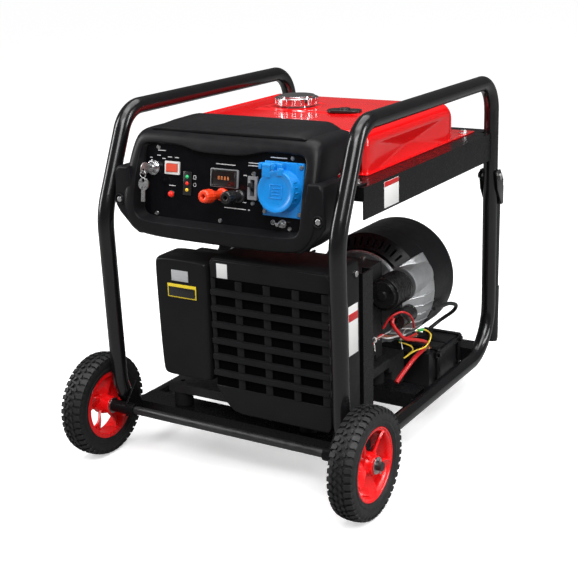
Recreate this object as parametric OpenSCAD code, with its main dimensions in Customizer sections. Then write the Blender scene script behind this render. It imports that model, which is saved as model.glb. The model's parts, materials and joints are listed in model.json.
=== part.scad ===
// Open-frame engine driven welder on two wheels.
// Millimetres. X to the right seen from the control panel, -Y towards the panel, Z up from the floor.

/* [Frame] */
// Distance between the centrelines of the two side hoops
hoop_spacing = 480; // [460:1:500]
// Outer diameter of the frame tube
tube_d = 30; // [26:1:32]
// Height of the centreline of the top tubes
hoop_top_z = 661; // [655:1:670]
// Height of the centreline of the bottom tubes
hoop_bottom_z = 82; // [80:1:84]

/* [Wheels] */
// Outer diameter of the tyres
wheel_d = 200; // [196:1:204]
// Width of a tyre
tyre_w = 46; // [40:1:48]
// Diameter of the axle rod
axle_d = 16; // [14:1:16]

/* [Tank] */
// Width of the fuel tank
tank_w = 410; // [380:1:420]
// Height of the top of the tank
tank_top_z = 632; // [620:1:636]

/* [Panel] */
// Width of the control panel
panel_w = 330; // [300:1:336]
// Lean of the control panel from vertical
panel_tilt = 8; // [4:1:10]

/* [Engine] */
// Crankshaft axis, to the right of the middle
crank_x = 90; // [85:1:95]
// Crankshaft axis height
crank_z = 268; // [262:1:270]
// Outer diameter of the rear drum
drum_d = 236; // [220:1:238]

/* [Handles] */
// Length of a folding handle below its pivot
handle_len = 366; // [340:1:370]

/* [Hidden] */
$fn = 64;
hx = hoop_spacing / 2;
tube_r = tube_d / 2;
wheel_r = wheel_d / 2;
axle_y = -300;
axle_z = wheel_r;
wheel_x = 285;
axle_half = 318;
axle_bore_r = axle_d / 2 + 0.08;
shaft_r = 19.94;
cylinder_y = -63;
tube_wall = 2;
tube_lap = 0.6;
tube_step = 0.1;
rail_top_z = 555;
rail_h = 55;
rail_x = 246;
sheet_t = 2.5;
cradle_front_y = -222;
cradle_rear_y = 382;
panel_y = -274.5;
panel_z = 547;
leg_rear_y = 351;
pivot_z = 464;
handle_y = 35;
handle_r = 10;
grip_r = 13;
beam_h = 30;
beam_top_z = 104;
mount_x = 138;
engine_base_z = 132;

// Side view of a hoop: corner points as [Y, Z] and the bend radius at each
HOOP_POINTS = [
    [-225, hoop_top_z],
    [-306, 481],
    [-296, hoop_bottom_z],
    [362, hoop_bottom_z],
    [leg_rear_y, hoop_top_z]
];
HOOP_RADII = [62, 150, 88, 100, 62];

// ---------- helpers ----------

function unit(v) = v / norm(v);
function turn_of(a, b, c) = acos(unit(b - a) * unit(c - b));
function side_of(a, b, c) = sign((b - a)[0] * (c - b)[1] - (b - a)[1] * (c - b)[0]);
function setback(a, b, c, r) = r * tan(turn_of(a, b, c) / 2);
function normal_of(a, b, s) = s * [-unit(b - a)[1], unit(b - a)[0]];

// A closed loop of round tube in the XY plane, each corner a true torus bend
module tube_loop(points, radii, r) {
    n = len(points);
    for (i = [0 : n - 1]) {
        a = points[(i + n - 1) % n];
        b = points[i];
        c = points[(i + 1) % n];
        d = points[(i + 2) % n];
        bend = radii[i];
        s = side_of(a, b, c);
        back = setback(a, b, c, bend);
        centre = b - back * unit(b - a) + bend * normal_of(a, b, s);
        from = b - back * unit(b - a) - centre;
        start = s > 0 ? atan2(from[1], from[0]) : atan2(from[1], from[0]) - turn_of(a, b, c);
        translate([centre[0], centre[1], 0])
            rotate([0, 0, start])
                rotate_extrude(angle = turn_of(a, b, c))
                    translate([bend, 0])
                        circle(r);
        p = b + back * unit(c - b);
        q = c - setback(b, c, d, radii[(i + 1) % n]) * unit(c - b);
        translate([p[0], p[1], 0])
            rotate([0, 0, atan2((q - p)[1], (q - p)[0])])
                translate([-tube_lap, 0, 0])
                    rotate([0, 90, 0])
                        cylinder(h = norm(q - p) + 2 * tube_lap, r = r - tube_step);
    }
}

// XY drawing stood up in the YZ plane, its thickness along X
module side_on() {
    rotate([90, 0, 90])
        children();
}

// XZ drawing extruded along +Y from y0 for a length
module face_on(y0, length) {
    translate([0, y0 + length, 0])
        rotate([90, 0, 0])
            linear_extrude(length)
                children();
}

// Side view drawing (Y, Z) extruded along X between x0 and x1
module profile_x(x0, x1) {
    translate([x0, 0, 0])
        side_on()
            linear_extrude(x1 - x0)
                children();
}

module box(lo, hi) {
    translate(lo)
        cube(hi - lo);
}

module rod_x(x0, x1, y, z, r) {
    translate([x0, y, z])
        rotate([0, 90, 0])
            cylinder(h = x1 - x0, r = r);
}

module rod_y(x, y0, y1, z, r) {
    translate([x, y0, z])
        rotate([-90, 0, 0])
            cylinder(h = y1 - y0, r = r);
}

module rod_z(x, y, z0, z1, r) {
    translate([x, y, z0])
        cylinder(h = z1 - z0, r = r);
}

module both_sides() {
    children();
    mirror([1, 0, 0])
        children();
}

// Rectangle with round corners, centred
module round_rect(w, h, r) {
    square([w - 2 * r, h], center = true);
    square([w, h - 2 * r], center = true);
    for (x = [-1, 1], y = [-1, 1])
        translate([x * (w / 2 - r), y * (h / 2 - r)])
            circle(r);
}

// Box between two corners with round edges along Y
module round_box_y(lo, hi, r) {
    translate([(lo[0] + hi[0]) / 2, 0, (lo[2] + hi[2]) / 2])
        face_on(lo[1], hi[1] - lo[1])
            round_rect(hi[0] - lo[0], hi[2] - lo[2], r);
}

module round_box_z(lo, hi, r) {
    translate([(lo[0] + hi[0]) / 2, (lo[1] + hi[1]) / 2, lo[2]])
        linear_extrude(hi[2] - lo[2])
            round_rect(hi[0] - lo[0], hi[1] - lo[1], r);
}

// Puts a drawing on the control panel: x across, w up the panel, local -Y outwards
module at_panel(x, w) {
    translate([0, panel_y, panel_z])
        rotate([-panel_tilt, 0, 0])
            translate([x, 0, w])
                children();
}

// Ring of points at distance r about a station of a cable, in the plane across its run
function frame_u(t) = unit(abs(t[2]) < 0.9 ? cross(t, [0, 0, 1]) : cross(t, [1, 0, 0]));
function run_at(p, i) = unit(p[min(i + 1, len(p) - 1)] - p[max(i - 1, 0)]);
function ring(p, i, r, n) = [
    for (k = [0 : n - 1])
        p[i] + r * cos(360 * k / n) * frame_u(run_at(p, i))
             + r * sin(360 * k / n) * cross(run_at(p, i), frame_u(run_at(p, i)))
];
function smooth_once(p) = [
    for (i = [0 : len(p) - 1])
        each (i == 0 ? [p[0], 0.5 * (p[0] + p[1])]
            : i == len(p) - 1 ? [p[i]]
            : [0.125 * p[i - 1] + 0.75 * p[i] + 0.125 * p[i + 1], 0.5 * (p[i] + p[i + 1])])
];

// A cable swept along its route
module cable(route, r, n = 8) {
    p = smooth_once(route);
    m = len(p);
    polyhedron(
        points = [for (i = [0 : m - 1]) each ring(p, i, r, n)],
        faces = concat(
            [[for (k = [0 : n - 1]) k]],
            [for (i = [0 : m - 2], k = [0 : n - 1])
                each [[i * n + k, (i + 1) * n + k, (i + 1) * n + (k + 1) % n],
                      [i * n + k, (i + 1) * n + (k + 1) % n, i * n + (k + 1) % n]]],
            [[for (k = [n - 1 : -1 : 0]) (m - 1) * n + k]]
        ),
        convexity = 4
    );
}

// ---------- frame ----------

module hoop_shape(r) {
    translate([hx, 0, 0])
        side_on()
            tube_loop(HOOP_POINTS, HOOP_RADII, r);
}

module hoop() {
    color([0.06, 0.06, 0.07])
        difference() {
            hoop_shape(tube_r);
            hoop_shape(tube_r - tube_wall);
            rod_x(hx - 20, hx + 20, leg_rear_y + 2, pivot_z, 4.2);
        }
}

module right_hoop() {
    hoop();
}

module left_hoop() {
    mirror([1, 0, 0])
        hoop();
}

// Open-bottomed channel between the hoops
module channel(y0, y1) {
    difference() {
        box([-hx + 6, y0, beam_top_z - beam_h], [hx - 6, y1, beam_top_z]);
        box([-hx, y0 + 3, beam_top_z - beam_h - 1], [hx, y1 - 3, beam_top_z - 3]);
        both_sides()
            hoop_shape(tube_r + 0.1);
        for (x = [-mount_x, mount_x])
            rod_z(x, (y0 + y1) / 2, beam_top_z - 10, beam_top_z + 5, 4.5);
    }
}

BEAM_Y = [[-262, -208], [0, 50], [284, 334]];

module cross_beams() {
    color([0.06, 0.06, 0.07])
        for (b = BEAM_Y)
            channel(b[0], b[1]);
}

module rear_feet() {
    color([0.05, 0.05, 0.05])
        for (x = [-mount_x, mount_x])
            difference() {
                union() {
                    translate([x, 309, 0])
                        cylinder(h = 74, r1 = 22, r2 = 17);
                    rod_z(x, 309, 74, beam_top_z - 3, 13);
                }
                rod_z(x, 309, -1, 26, 7);
            }
}

module engine_mounts() {
    color([0.08, 0.08, 0.08])
        for (x = [-mount_x, mount_x], y = [-235, 25]) {
            rod_z(x, y, beam_top_z, engine_base_z, 18);
            rod_z(x, y, beam_top_z - 14, beam_top_z, 4);
        }
}

module axle_sleeves() {
    color([0.07, 0.07, 0.08])
        both_sides()
            difference() {
                union() {
                    rod_x(206, 257, axle_y, axle_z, 12);
                    profile_x(219, 223)
                        polygon([[axle_y - 9, 88], [axle_y + 36, 76], [axle_y + 37, 100],
                                 [axle_y + 24, 150], [axle_y - 9, 112]]);
                }
                rod_x(200, 260, axle_y, axle_z, axle_d / 2 + 0.02);
                hoop_shape(tube_r + 0.2);
            }
}

module axle() {
    color([0.1, 0.1, 0.11])
        difference() {
            rod_x(-axle_half, axle_half, axle_y, axle_z, axle_d / 2);
            both_sides()
                rod_z(axle_half - 5, axle_y, axle_z - 20, axle_z + 20, 1.8);
        }
}

module axle_fasteners() {
    color([0.75, 0.75, 0.76])
        both_sides() {
            for (x = [wheel_x - 27.5, wheel_x + 21.6])
                difference() {
                    rod_x(x, x + 2, axle_y, axle_z, 15);
                    rod_x(x - 1, x + 3, axle_y, axle_z, axle_d / 2 + 0.05);
                }
            rod_z(axle_half - 5, axle_y, axle_z - 14, axle_z + 14, 1.7);
        }
}

// ---------- wheels ----------

module spoke_window() {
    linear_extrude(60, center = true)
        polygon([
            for (a = [0 : 6 : 42]) 55 * [cos(a), sin(a)],
            for (a = [50 : -10 : 10]) 25 * [cos(a), sin(a)]
        ]);
}

module rim() {
    color([0.85, 0.03, 0.03])
    translate([wheel_x, axle_y, axle_z])
        rotate([0, 90, 0])
            difference() {
                union() {
                    rotate_extrude()
                        polygon([[57, -19], [66, -19], [66, -15], [61, -10], [61, 10],
                                 [66, 15], [66, 19], [57, 19]]);
                    translate([0, 0, -24.5])
                        cylinder(h = 45.5, r = 19);
                    cylinder(h = 12, r = 58, center = true);
                }
                for (i = [0 : 4])
                    rotate([0, 0, 72 * i])
                        spoke_window();
                cylinder(h = 60, r = axle_bore_r, center = true);
            }
}

module tyre() {
    color([0.07, 0.07, 0.07])
        translate([wheel_x, axle_y, axle_z])
            rotate([0, 90, 0])
                rotate_extrude()
                    polygon([[66, -19], [66, -15], [61, -10], [61, 10], [66, 15], [66, 19], [72, 22.5],
                             [84, tyre_w / 2], [94, tyre_w / 2 - 3], [wheel_r, tyre_w / 2 - 12],
                             [wheel_r, -tyre_w / 2 + 12], [94, -tyre_w / 2 + 3],
                             [84, -tyre_w / 2], [72, -22.5]]);
}

module left_rim() {
    mirror([1, 0, 0])
        rim();
}

module right_rim() {
    rim();
}

module left_tyre() {
    mirror([1, 0, 0])
        tyre();
}

module right_tyre() {
    tyre();
}

// ---------- tank ----------

module tank_cradle() {
    color([0.07, 0.07, 0.08])
        difference() {
            union() {
                both_sides()
                    box([rail_x - sheet_t, cradle_front_y, rail_top_z - rail_h], [rail_x, 340, rail_top_z]);
                difference() {
                    box([-rail_x, cradle_front_y, rail_top_z - sheet_t], [rail_x, 336, rail_top_z]);
                    box([-150, -120, rail_top_z - 9], [150, 230, rail_top_z + 9]);
                }
                box([-219, 330, rail_top_z - sheet_t], [219, cradle_rear_y, rail_top_z]);
                box([-219, cradle_rear_y - sheet_t, rail_top_z - 24], [219, cradle_rear_y, rail_top_z]);
                box([-rail_x, cradle_front_y, rail_top_z - 24],
                    [rail_x, cradle_front_y + sheet_t, rail_top_z]);
            }
            both_sides()
                hoop_shape(tube_r + 0.1);
            for (p = TANK_BOLTS)
                rod_z(p[0], p[1], rail_top_z - 20, rail_top_z + 5, 4.4);
        }
}

TANK_BOLTS = [[-199, 305], [199, 305], [-155, -154], [155, -154]];
TANK_FRONT = -134;
TANK_REAR = 252;

module tank_side_profile() {
    polygon([
        [TANK_FRONT, 557], [TANK_FRONT, tank_top_z - 14], [TANK_FRONT + 14, tank_top_z],
        for (a = [90 : -10 : 10]) [TANK_REAR - 40 + 40 * cos(a), tank_top_z - 44 + 44 * sin(a)],
        [TANK_REAR, 557]
    ]);
}

module tank_front_profile() {
    half = tank_w / 2;
    polygon([
        [-half, 557], [-half, tank_top_z - 30],
        for (a = [180 : -15 : 90]) [-half + 26 + 26 * cos(a), tank_top_z - 26 + 26 * sin(a)],
        for (a = [90 : -15 : 0]) [half - 26 + 26 * cos(a), tank_top_z - 26 + 26 * sin(a)],
        [half, 557]
    ]);
}

module fuel_tank() {
    color([0.86, 0.02, 0.03])
        difference() {
            union() {
                intersection() {
                    profile_x(-tank_w / 2, tank_w / 2)
                        tank_side_profile();
                    face_on(TANK_FRONT - 1, 400)
                        tank_front_profile();
                }
                round_box_z([-209, -140, rail_top_z], [209, 340, rail_top_z + 3], 12);
                round_box_z([-172, -170, rail_top_z], [172, -130, rail_top_z + 3], 8);
                round_box_z([-140, -110, 522], [140, 220, rail_top_z + 1], 20);
                rod_z(CAP_X, CAP_Y, tank_top_z - 5, tank_top_z + 4, 34);
            }
            for (p = TANK_BOLTS)
                rod_z(p[0], p[1], rail_top_z - 20, rail_top_z + 9, 4.4);
            rod_z(CAP_X, CAP_Y, tank_top_z - 42, tank_top_z + 9, 28);
            box([-176, -118, 561], [176, 214, tank_top_z - 3]);
            box([-200, -128, 561], [200, 228, tank_top_z - 32]);
            box([-134, -104, 526], [134, 214, 565]);
            box([-131, 309, rail_top_z - 5], [131, 345, rail_top_z + 9]);
        }
}

CAP_X = -60;
CAP_Y = 82;

module fuel_cap() {
    color([0.9, 0.9, 0.9])
        difference() {
            union() {
                translate([CAP_X, CAP_Y, tank_top_z + 4.4])
                    linear_extrude(13)
                        difference() {
                            circle(43);
                            for (i = [0 : 15])
                                rotate(22.5 * i)
                                    translate([45.5, 0])
                                        circle(4.2);
                        }
                rod_z(CAP_X, CAP_Y, tank_top_z + 17, tank_top_z + 21, 36);
            }
            difference() {
                rod_z(CAP_X, CAP_Y, tank_top_z + 4, tank_top_z + 12, 37);
                rod_z(CAP_X, CAP_Y, tank_top_z + 3, tank_top_z + 13, 26);
            }
        }
    color([0.2, 0.2, 0.2])
        rod_z(CAP_X, CAP_Y, tank_top_z - 14, tank_top_z + 4.4, 26);
}

module fuel_gauge() {
    color([0.05, 0.05, 0.05]) {
        translate([68, 42, tank_top_z])
            rotate([0, 0, 8])
                linear_extrude(5)
                    round_rect(66, 34, 14);
        rod_z(68, 42, tank_top_z + 5, tank_top_z + 8, 11);
    }
}

module bolt_z(x, y, z, r = 6.5) {
    translate([x, y, z])
        cylinder(h = 5, r = r, $fn = 6);
    rod_z(x, y, z - 1.5, z, r + 2.5);
}

module frame_bolts() {
    color([0.55, 0.56, 0.58]) {
        for (p = TANK_BOLTS) {
            bolt_z(p[0], p[1], rail_top_z + 4.5);
            rod_z(p[0], p[1], rail_top_z - 16, rail_top_z + 4, 4);
        }
        both_sides() {
            rod_x(hx - 20, hx + 20, leg_rear_y + 2, pivot_z, 4);
            for (x = [hx - 25, hx + 20])
                translate([x, leg_rear_y + 2, pivot_z])
                    rotate([0, 90, 0])
                        cylinder(h = 5, r = 7, $fn = 6);
        }
        both_sides()
            bolt_z(224, -208, 560.1);
        for (x = [-1, 1])
            translate([x * 203, -302, 511])
                rotate([-90, 0, 0])
                    cylinder(h = 5, r = 5.5, $fn = 6);
        translate([218, -206, 400])
            rotate([0, 90, 0])
                cylinder(h = 5, r = 6, $fn = 6);
    }
}

// ---------- control fascia ----------

FASCIA_OUTLINE = [
    [-150, 448], [-166, 451], [-178, 459], [-207, 486], [-215, 498], [-217, 510], [-211, 564],
    [-208, 571], [-195, 573], [-194, 606], [-190, 620], [-182, 631], [-168, 637],
    [168, 637], [182, 631], [190, 620], [194, 606], [195, 573], [208, 571], [211, 564],
    [217, 510], [215, 498], [207, 486], [178, 459], [166, 451], [150, 448]
];
FASCIA_SIDE = [
    [-308, 448], [-308, 500], [-306, 518], [-300, 545], [-290, 573], [-276, 605], [-267, 626],
    [-261, 634], [-252, 638], [-140, 638], [-140, 557.5], [-226, 557.5], [-226, 448]
];

module fascia() {
    color([0.09, 0.09, 0.1])
        difference() {
            union() {
                intersection() {
                    face_on(-320, 200)
                        polygon(FASCIA_OUTLINE);
                    profile_x(-230, 230)
                        polygon(FASCIA_SIDE);
                }
                both_sides()
                    box([186, -222, 555.3], [238, -194, 558.6]);
            }
            at_panel(0, 0)
                translate([-168, -0.3, -66])
                    cube([336, 200, 130.5]);
            face_on(-330, 68)
                polygon([[-146, 481], [-160, 486], [-169, 500], [-169, 598], [-160, 609], [-92, 613],
                         [-72, 601], [58, 601], [76, 613], [160, 609], [169, 598], [169, 500],
                         [160, 486], [146, 481]]);
            box([-160, -264, 452], [160, -220, 600]);
            box([-180, -240, 550], [180, -130, 630]);
            for (x = [-203, 203])
                rod_y(x, -315, -297, 511, 8);
            for (x = [-1, 1])
                translate([x * 208, -262, 511])
                    box([-12, 0, -66], [12, 60, 58]);
        }
}

PANEL_SCREWS = [[-138, 57.5], [138, 57.5], [-138, -60], [-2, -60], [138, -60]];

module control_panel() {
    color([0.03, 0.03, 0.035])
        at_panel(0, 0)
            difference() {
                translate([-panel_w / 2, 0, -66 + 0.5])
                    cube([panel_w, 2, 129.5]);
                translate([-139, -5, 21])
                    rod_y(-7, 0, 10, 0, 11);
                translate([-120, -5, 13.5])
                    cube([28, 10, 19]);
                translate([-80.5, -5, -21])
                    cube([15, 10, 39]);
                rod_y(-106.5, -5, 10, -23, 5);
                translate([-20, -5, 1])
                    cube([51, 10, 26]);
                translate([55, -5, -15])
                    cube([16, 10, 34]);
                rod_y(125, -5, 10, 5, 31);
                rod_y(3, -5, 10, -14, 6.5);
                rod_y(38, -5, 10, -14, 6.5);
                rod_y(124.5, -5, 10, -52.5, 3.2);
                for (p = concat(PANEL_SCREWS, SOCKET_SCREWS, BREAKER_SCREWS))
                    rod_y(p[0], -5, 10, p[1], 2);
            }
}

SOCKET_SCREWS = [[91, 44], [159, 44], [91, -34], [159, -34]];
BREAKER_SCREWS = [[63, 26], [63, -24]];

module screw_head(x, w, lift) {
    translate([x, -lift, w])
        rotate([90, 0, 0])
            difference() {
                cylinder(h = 2.2, r1 = 4, r2 = 3);
                translate([-3, -0.5, 1.2])
                    cube([6, 1, 2]);
                translate([-0.5, -3, 1.2])
                    cube([1, 6, 2]);
            }
    rod_y(x, -lift, 4, w, 1.9);
}

module panel_screws() {
    color([0.8, 0.8, 0.8])
        at_panel(0, 0) {
            for (p = PANEL_SCREWS)
                screw_head(p[0], p[1], 0);
            for (p = SOCKET_SCREWS)
                screw_head(p[0], p[1], 6);
            for (p = BREAKER_SCREWS)
                screw_head(p[0], p[1], 0);
        }
}

module digital_meter() {
    at_panel(5.5, 14) {
        color([0.45, 0.46, 0.48])
            difference() {
                union() {
                    face_on(-6, 6)
                        round_rect(57, 32, 2);
                    translate([-25, 0, -12.5])
                        cube([50, 24, 25]);
                }
                translate([-22, -8, -9])
                    cube([44, 4.5, 18]);
            }
    }
}

module key_switch() {
    color([0.7, 0.7, 0.72])
        at_panel(-146, 21) {
            difference() {
                union() {
                    rod_y(0, -5, 0, 0, 13.5);
                    rod_y(0, -11, -5, 0, 10.5);
                    rod_y(0, 0, 26, 0, 10.5);
                }
                rod_y(0, -12, 14, 0, 6.08);
            }
        }
}

module ignition_key() {
    color([0.75, 0.74, 0.7])
        at_panel(-146, 21) {
            difference() {
                rod_y(0, -14, 13, 0, 6);
                translate([-5, -15, -1.1])
                    cube([10, 4, 2.2]);
            }
            difference() {
                union() {
                    translate([-0.8, -20, -4.5])
                        cube([1.6, 30, 9]);
                    rod_x(-0.8, 0.8, -29, -1, 11);
                }
                rod_x(-2, 2, -33, -5, 4.2);
            }
        }
}

module key_ring() {
    color([0.7, 0.68, 0.62])
        at_panel(-146, 21)
            translate([0, -33, -5]) {
                translate([0, 0, -6])
                    rotate([90, 0, 0])
                        rotate_extrude()
                            translate([6, 0])
                                circle(0.7);
                translate([1.5, 0.4, -18])
                    difference() {
                        union() {
                            translate([0, -1.1, -5])
                                rotate([-90, 0, 0])
                                    cylinder(h = 2.2, r = 11);
                            translate([-4, -1.1, -36])
                                cube([8, 2.2, 22]);
                        }
                        translate([-0.8, -3, 1.5])
                            rotate([-90, 0, 0])
                                cylinder(h = 6, r = 3.4);
                    }
            }
}

module rocker_frame() {
    color([0.9, 0.88, 0.86])
        at_panel(-106, 23) {
            difference() {
                union() {
                    face_on(-3, 3)
                        round_rect(32, 23, 1.5);
                    translate([-13.5, 0, -9])
                        cube([27, 22, 18]);
                }
                translate([-12.2, -5, -7.7])
                    cube([24.4, 21, 15.4]);
            }
        }
}

module start_rocker() {
    color([0.9, 0.2, 0.15])
        at_panel(-106, 23)
            translate([0, 0, -7])
                linear_extrude(14)
                    polygon([[-11, -6], [0, -3.4], [11, -3], [9, 6], [0, 10], [-9, 6]]);
    color([0.9, 0.2, 0.15])
        at_panel(-106, 23)
            rod_z(0, -2, -7.5, 7.5, 1.2);
}

module indicator_lamps() {
    at_panel(-73, 0) {
        color([0.15, 0.15, 0.16])
            difference() {
                union() {
                    face_on(-3, 3)
                        translate([0, -1.5])
                            round_rect(17, 41, 1.5);
                    translate([-7, 0, -20.5])
                        cube([14, 14, 38]);
                }
                for (w = [10, -1.5, -13])
                    rod_y(0, -4, 3, w, 3.6);
            }
        color([0.1, 0.6, 0.3])
            for (w = [10, -1.5, -13])
                rod_y(0, -3.6, 3, w, 3.4);
    }
    color([0.8, 0.05, 0.04])
        at_panel(-106.5, -23) {
            rod_y(0, -2, 0, 0, 7);
            rod_y(0, -7, -2, 0, 5.5);
            rod_y(0, 0, 14, 0, 4.8);
        }
}

module breaker_body() {
    color([0.55, 0.55, 0.56])
        at_panel(63, 2)
            difference() {
                union() {
                    face_on(-4, 4)
                        round_rect(19, 40, 1.5);
                    translate([-7.5, 0, -16.5])
                        cube([15, 40, 33]);
                }
                translate([-4.4, -6, -14])
                    cube([8.8, 26, 28]);
            }
}

module breaker_toggle() {
    color([0.03, 0.03, 0.03])
        at_panel(63, 2)
            translate([0, 6, 0]) {
                rod_x(-4, 4, 0, 0, 7);
                rotate([-18, 0, 0])
                    translate([-4, -19, -3.5])
                        cube([8, 18, 7]);
            }
}

LID_W = 39;
LID_OUT = 27;

module socket_base() {
    color([0.05, 0.45, 0.9])
        at_panel(125, 5) {
            difference() {
                union() {
                    face_on(-6, 6)
                        round_rect(77, 92, 4);
                    rod_y(0, -25, -6, -2, 33);
                    rod_y(0, 0, 38, 0, 30);
                    translate([-29.5, -22, 30])
                        cube([24.5, 16, 14]);
                    for (x = [-31, -7])
                        translate([x - 3, -31.4, 34.9])
                            cube([5, 13.4, 9.1]);
                }
                rod_y(0, -27, 18, -2, 28);
                rod_x(-40, 10, -LID_OUT, LID_W, 2.2);
                for (p = SOCKET_SCREWS)
                    rod_y(p[0] - 125, -8, 10, p[1] - 5, 2);
                translate([-28.5, -30, 34])
                    cube([18, 9, 12]);
            }
            rod_x(-36, 0, -LID_OUT, LID_W, 2.2);
            for (a = [0, 120, 240])
                rod_y(17 * sin(a), -14, 20, -2 - 17 * cos(a), a == 0 ? 4 : 3);
        }
}

module socket_lid() {
    color([0.08, 0.5, 0.95])
        at_panel(125, 5) {
            difference() {
                union() {
                    rod_y(0, -30.5, -25.4, -2, 35);
                    translate([-27.5, -31, 20])
                        cube([16, 5.6, 22]);
                    rod_x(-27.5, -11.5, -LID_OUT, LID_W, 4.6);
                }
                rod_x(-40, 10, -LID_OUT, LID_W, 2.28);
            }
            translate([3, -33, 26])
                cube([9, 7.6, 12]);
        }
}

module terminal(out) {
    difference() {
        union() {
            rod_y(0, -8, 0, 0, 11);
            rod_y(0, -out + 20, -8, 0, 7);
            rod_y(0, -out, -out + 24, 0, 9);
            rod_y(0, 0, 20, 0, 6.4);
        }
        rod_y(0, -out - 1, -out + 12, 0, 4);
    }
}

module red_terminal() {
    color([0.9, 0.12, 0.05])
        at_panel(3, -14)
            terminal(62);
}

module black_terminal() {
    color([0.04, 0.04, 0.04])
        at_panel(38, -14)
            terminal(48);
}

module ground_stud() {
    color([0.8, 0.78, 0.72])
        at_panel(124.5, -52.5) {
            rod_y(0, -20, -10, 0, 3);
            rod_y(0, -10, 10, 0, 2.6);
            difference() {
                union() {
                    rod_y(0, -1.5, 0, 0, 7);
                    rod_y(0, -8, -2, 0, 5.5);
                    translate([-10, -9.5, -1.2])
                        cube([20, 5.5, 2.4]);
                }
                rod_y(0, -12, 1, 0, 2.6);
            }
        }
}

// ---------- front covers ----------

COVER_Y = -294;
COVER_BACK = -190;
LOUVRE_PITCH = 30.2;
LOUVRE_TOP = 384;

module cover_outline(inset) {
    polygon([[-25 + inset, 422 - inset], [-22 + inset, 160], [-8 + inset, 142 + inset],
             [6 + inset, 134 + inset], [218 - inset, 134 + inset], [218 - inset, 422 - inset]]);
}

module front_cover() {
    color([0.1, 0.1, 0.105])
        difference() {
            union() {
                face_on(COVER_Y, COVER_BACK - COVER_Y)
                    cover_outline(0);
                for (i = [0 : 6])
                    box([-20, COVER_Y - 6, LOUVRE_TOP - LOUVRE_PITCH * i - 22],
                        [214, COVER_Y + 1, LOUVRE_TOP - LOUVRE_PITCH * i - 10]);
            }
            face_on(COVER_Y + 3, 200)
                cover_outline(3);
            box([-40, COVER_Y + 3, 120], [230, -180, 152]);
            for (i = [0 : 6], k = [0 : 3])
                box([-12 + 57 * k, COVER_Y - 1, LOUVRE_TOP - LOUVRE_PITCH * i - 9],
                    [33 + 57 * k, COVER_Y + 5, LOUVRE_TOP - LOUVRE_PITCH * i + 6]);
        }
}

module air_cleaner_base() {
    color([0.06, 0.06, 0.065])
        difference() {
            round_box_y([-134, -228, 196], [-30, -176, 400], 16);
            round_box_y([-130, -229, 200], [-34, -180, 396], 12);
            rod_y(-84, -190, -170, 285, 17);
        }
}

module air_cleaner_cover() {
    color([0.06, 0.06, 0.065])
        difference() {
            round_box_y([-144, -298, 185], [-27, -228, 413], 14);
            round_box_y([-141, -295, 188], [-30, -227, 410], 12);
        }
    color([0.85, 0.8, 0.6])
        difference() {
            box([-122, -285, 215], [-42, -190, 380]);
            box([-102, -280, 235], [-62, -180, 360]);
        }
}

module carburettor() {
    color([0.6, 0.6, 0.58])
        difference() {
            union() {
                rod_y(-84, -176, -133.3, 285, 19);
                box([-106, -166, 268], [-62, -134, 305]);
                rod_z(-84, -150, 228, 268, 15);
            }
            rod_y(-84, -180, -120, 285, 12);
            rod_x(-112, -60, -150, 296, 3);
        }
}

module choke_lever() {
    color([0.7, 0.7, 0.68]) {
        rod_x(-122, -61, -150, 296, 2.92);
        translate([-122, -150, 296])
            rotate([-24, 0, 0])
                profile_x(0, 3)
                    difference() {
                        union() {
                            translate([-4.5, 0])
                                square([9, 29]);
                            circle(8);
                            translate([0, 30])
                                circle(6);
                        }
                        translate([0, 30])
                            circle(2);
                    }
    }
}

// ---------- engine ----------

module crankcase() {
    color([0.45, 0.46, 0.47])
        difference() {
            union() {
                box([-20, -150, 150], [160, -24, 345]);
                box([-20, -24, 150], [138, 56, 345]);
                box([-160, -252, engine_base_z], [160, 44, 150]);
                box([20, 44, 120], [160, 110, 146]);
                box([60, 54, 82], [160, 110, 121]);
                rod_y(crank_x, -172, 78, crank_z, 44);
                head_frame() {
                    for (i = [0 : 5])
                        translate([-58, -70, 104 + 11 * i])
                            cube([116, 140, 4]);
                    cylinder(h = 170, r = 52);
                }
            }
            rod_y(crank_x, -180, 90, crank_z, 20);
            rod_y(crank_x, -112, -34, crank_z, 65);
            head_frame()
                cylinder(h = 180, r = 44);
            for (x = [-mount_x, mount_x], y = [-235, 25])
                rod_z(x, y, 130, 160, 4.5);
        }
}

module head_frame() {
    translate([crank_x, cylinder_y, crank_z])
        rotate([0, -65, 0])
            children();
}

module cylinder_head() {
    color([0.5, 0.5, 0.51])
        head_frame()
            difference() {
                union() {
                    translate([-54, -64, 170])
                        cube([108, 128, 12]);
                    for (i = [0 : 2])
                        translate([-56, -66, 188 + 10 * i])
                            cube([112, 132, 4]);
                    translate([-44, -52, 170])
                        cube([88, 104, 46]);
                }
                translate([-30, 20, 160])
                    cylinder(h = 70, r = 7.2);
            }
}

module valve_cover() {
    color([0.08, 0.08, 0.08])
        head_frame()
            difference() {
                translate([-40, -50, 216])
                    cube([80, 58, 30]);
                translate([-37, -47, 215])
                    cube([74, 52, 28]);
            }
}

module spark_plug() {
    color([0.9, 0.9, 0.88])
        head_frame()
            translate([-30, 20, 0]) {
                translate([0, 0, 176])
                    cylinder(h = 46, r = 7);
                translate([0, 0, 222])
                    cylinder(h = 34, r = 10);
            }
}

module crankshaft() {
    color([0.6, 0.6, 0.6]) {
        rod_y(crank_x, -168, -92, crank_z, shaft_r);
        rod_y(crank_x, -50, 240, crank_z, shaft_r);
        for (y = [-104, -58])
            rod_y(crank_x, y, y + 16, crank_z, 60);
        rod_y(crank_x + 32, -90, -56, crank_z, 17);
    }
}

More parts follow.
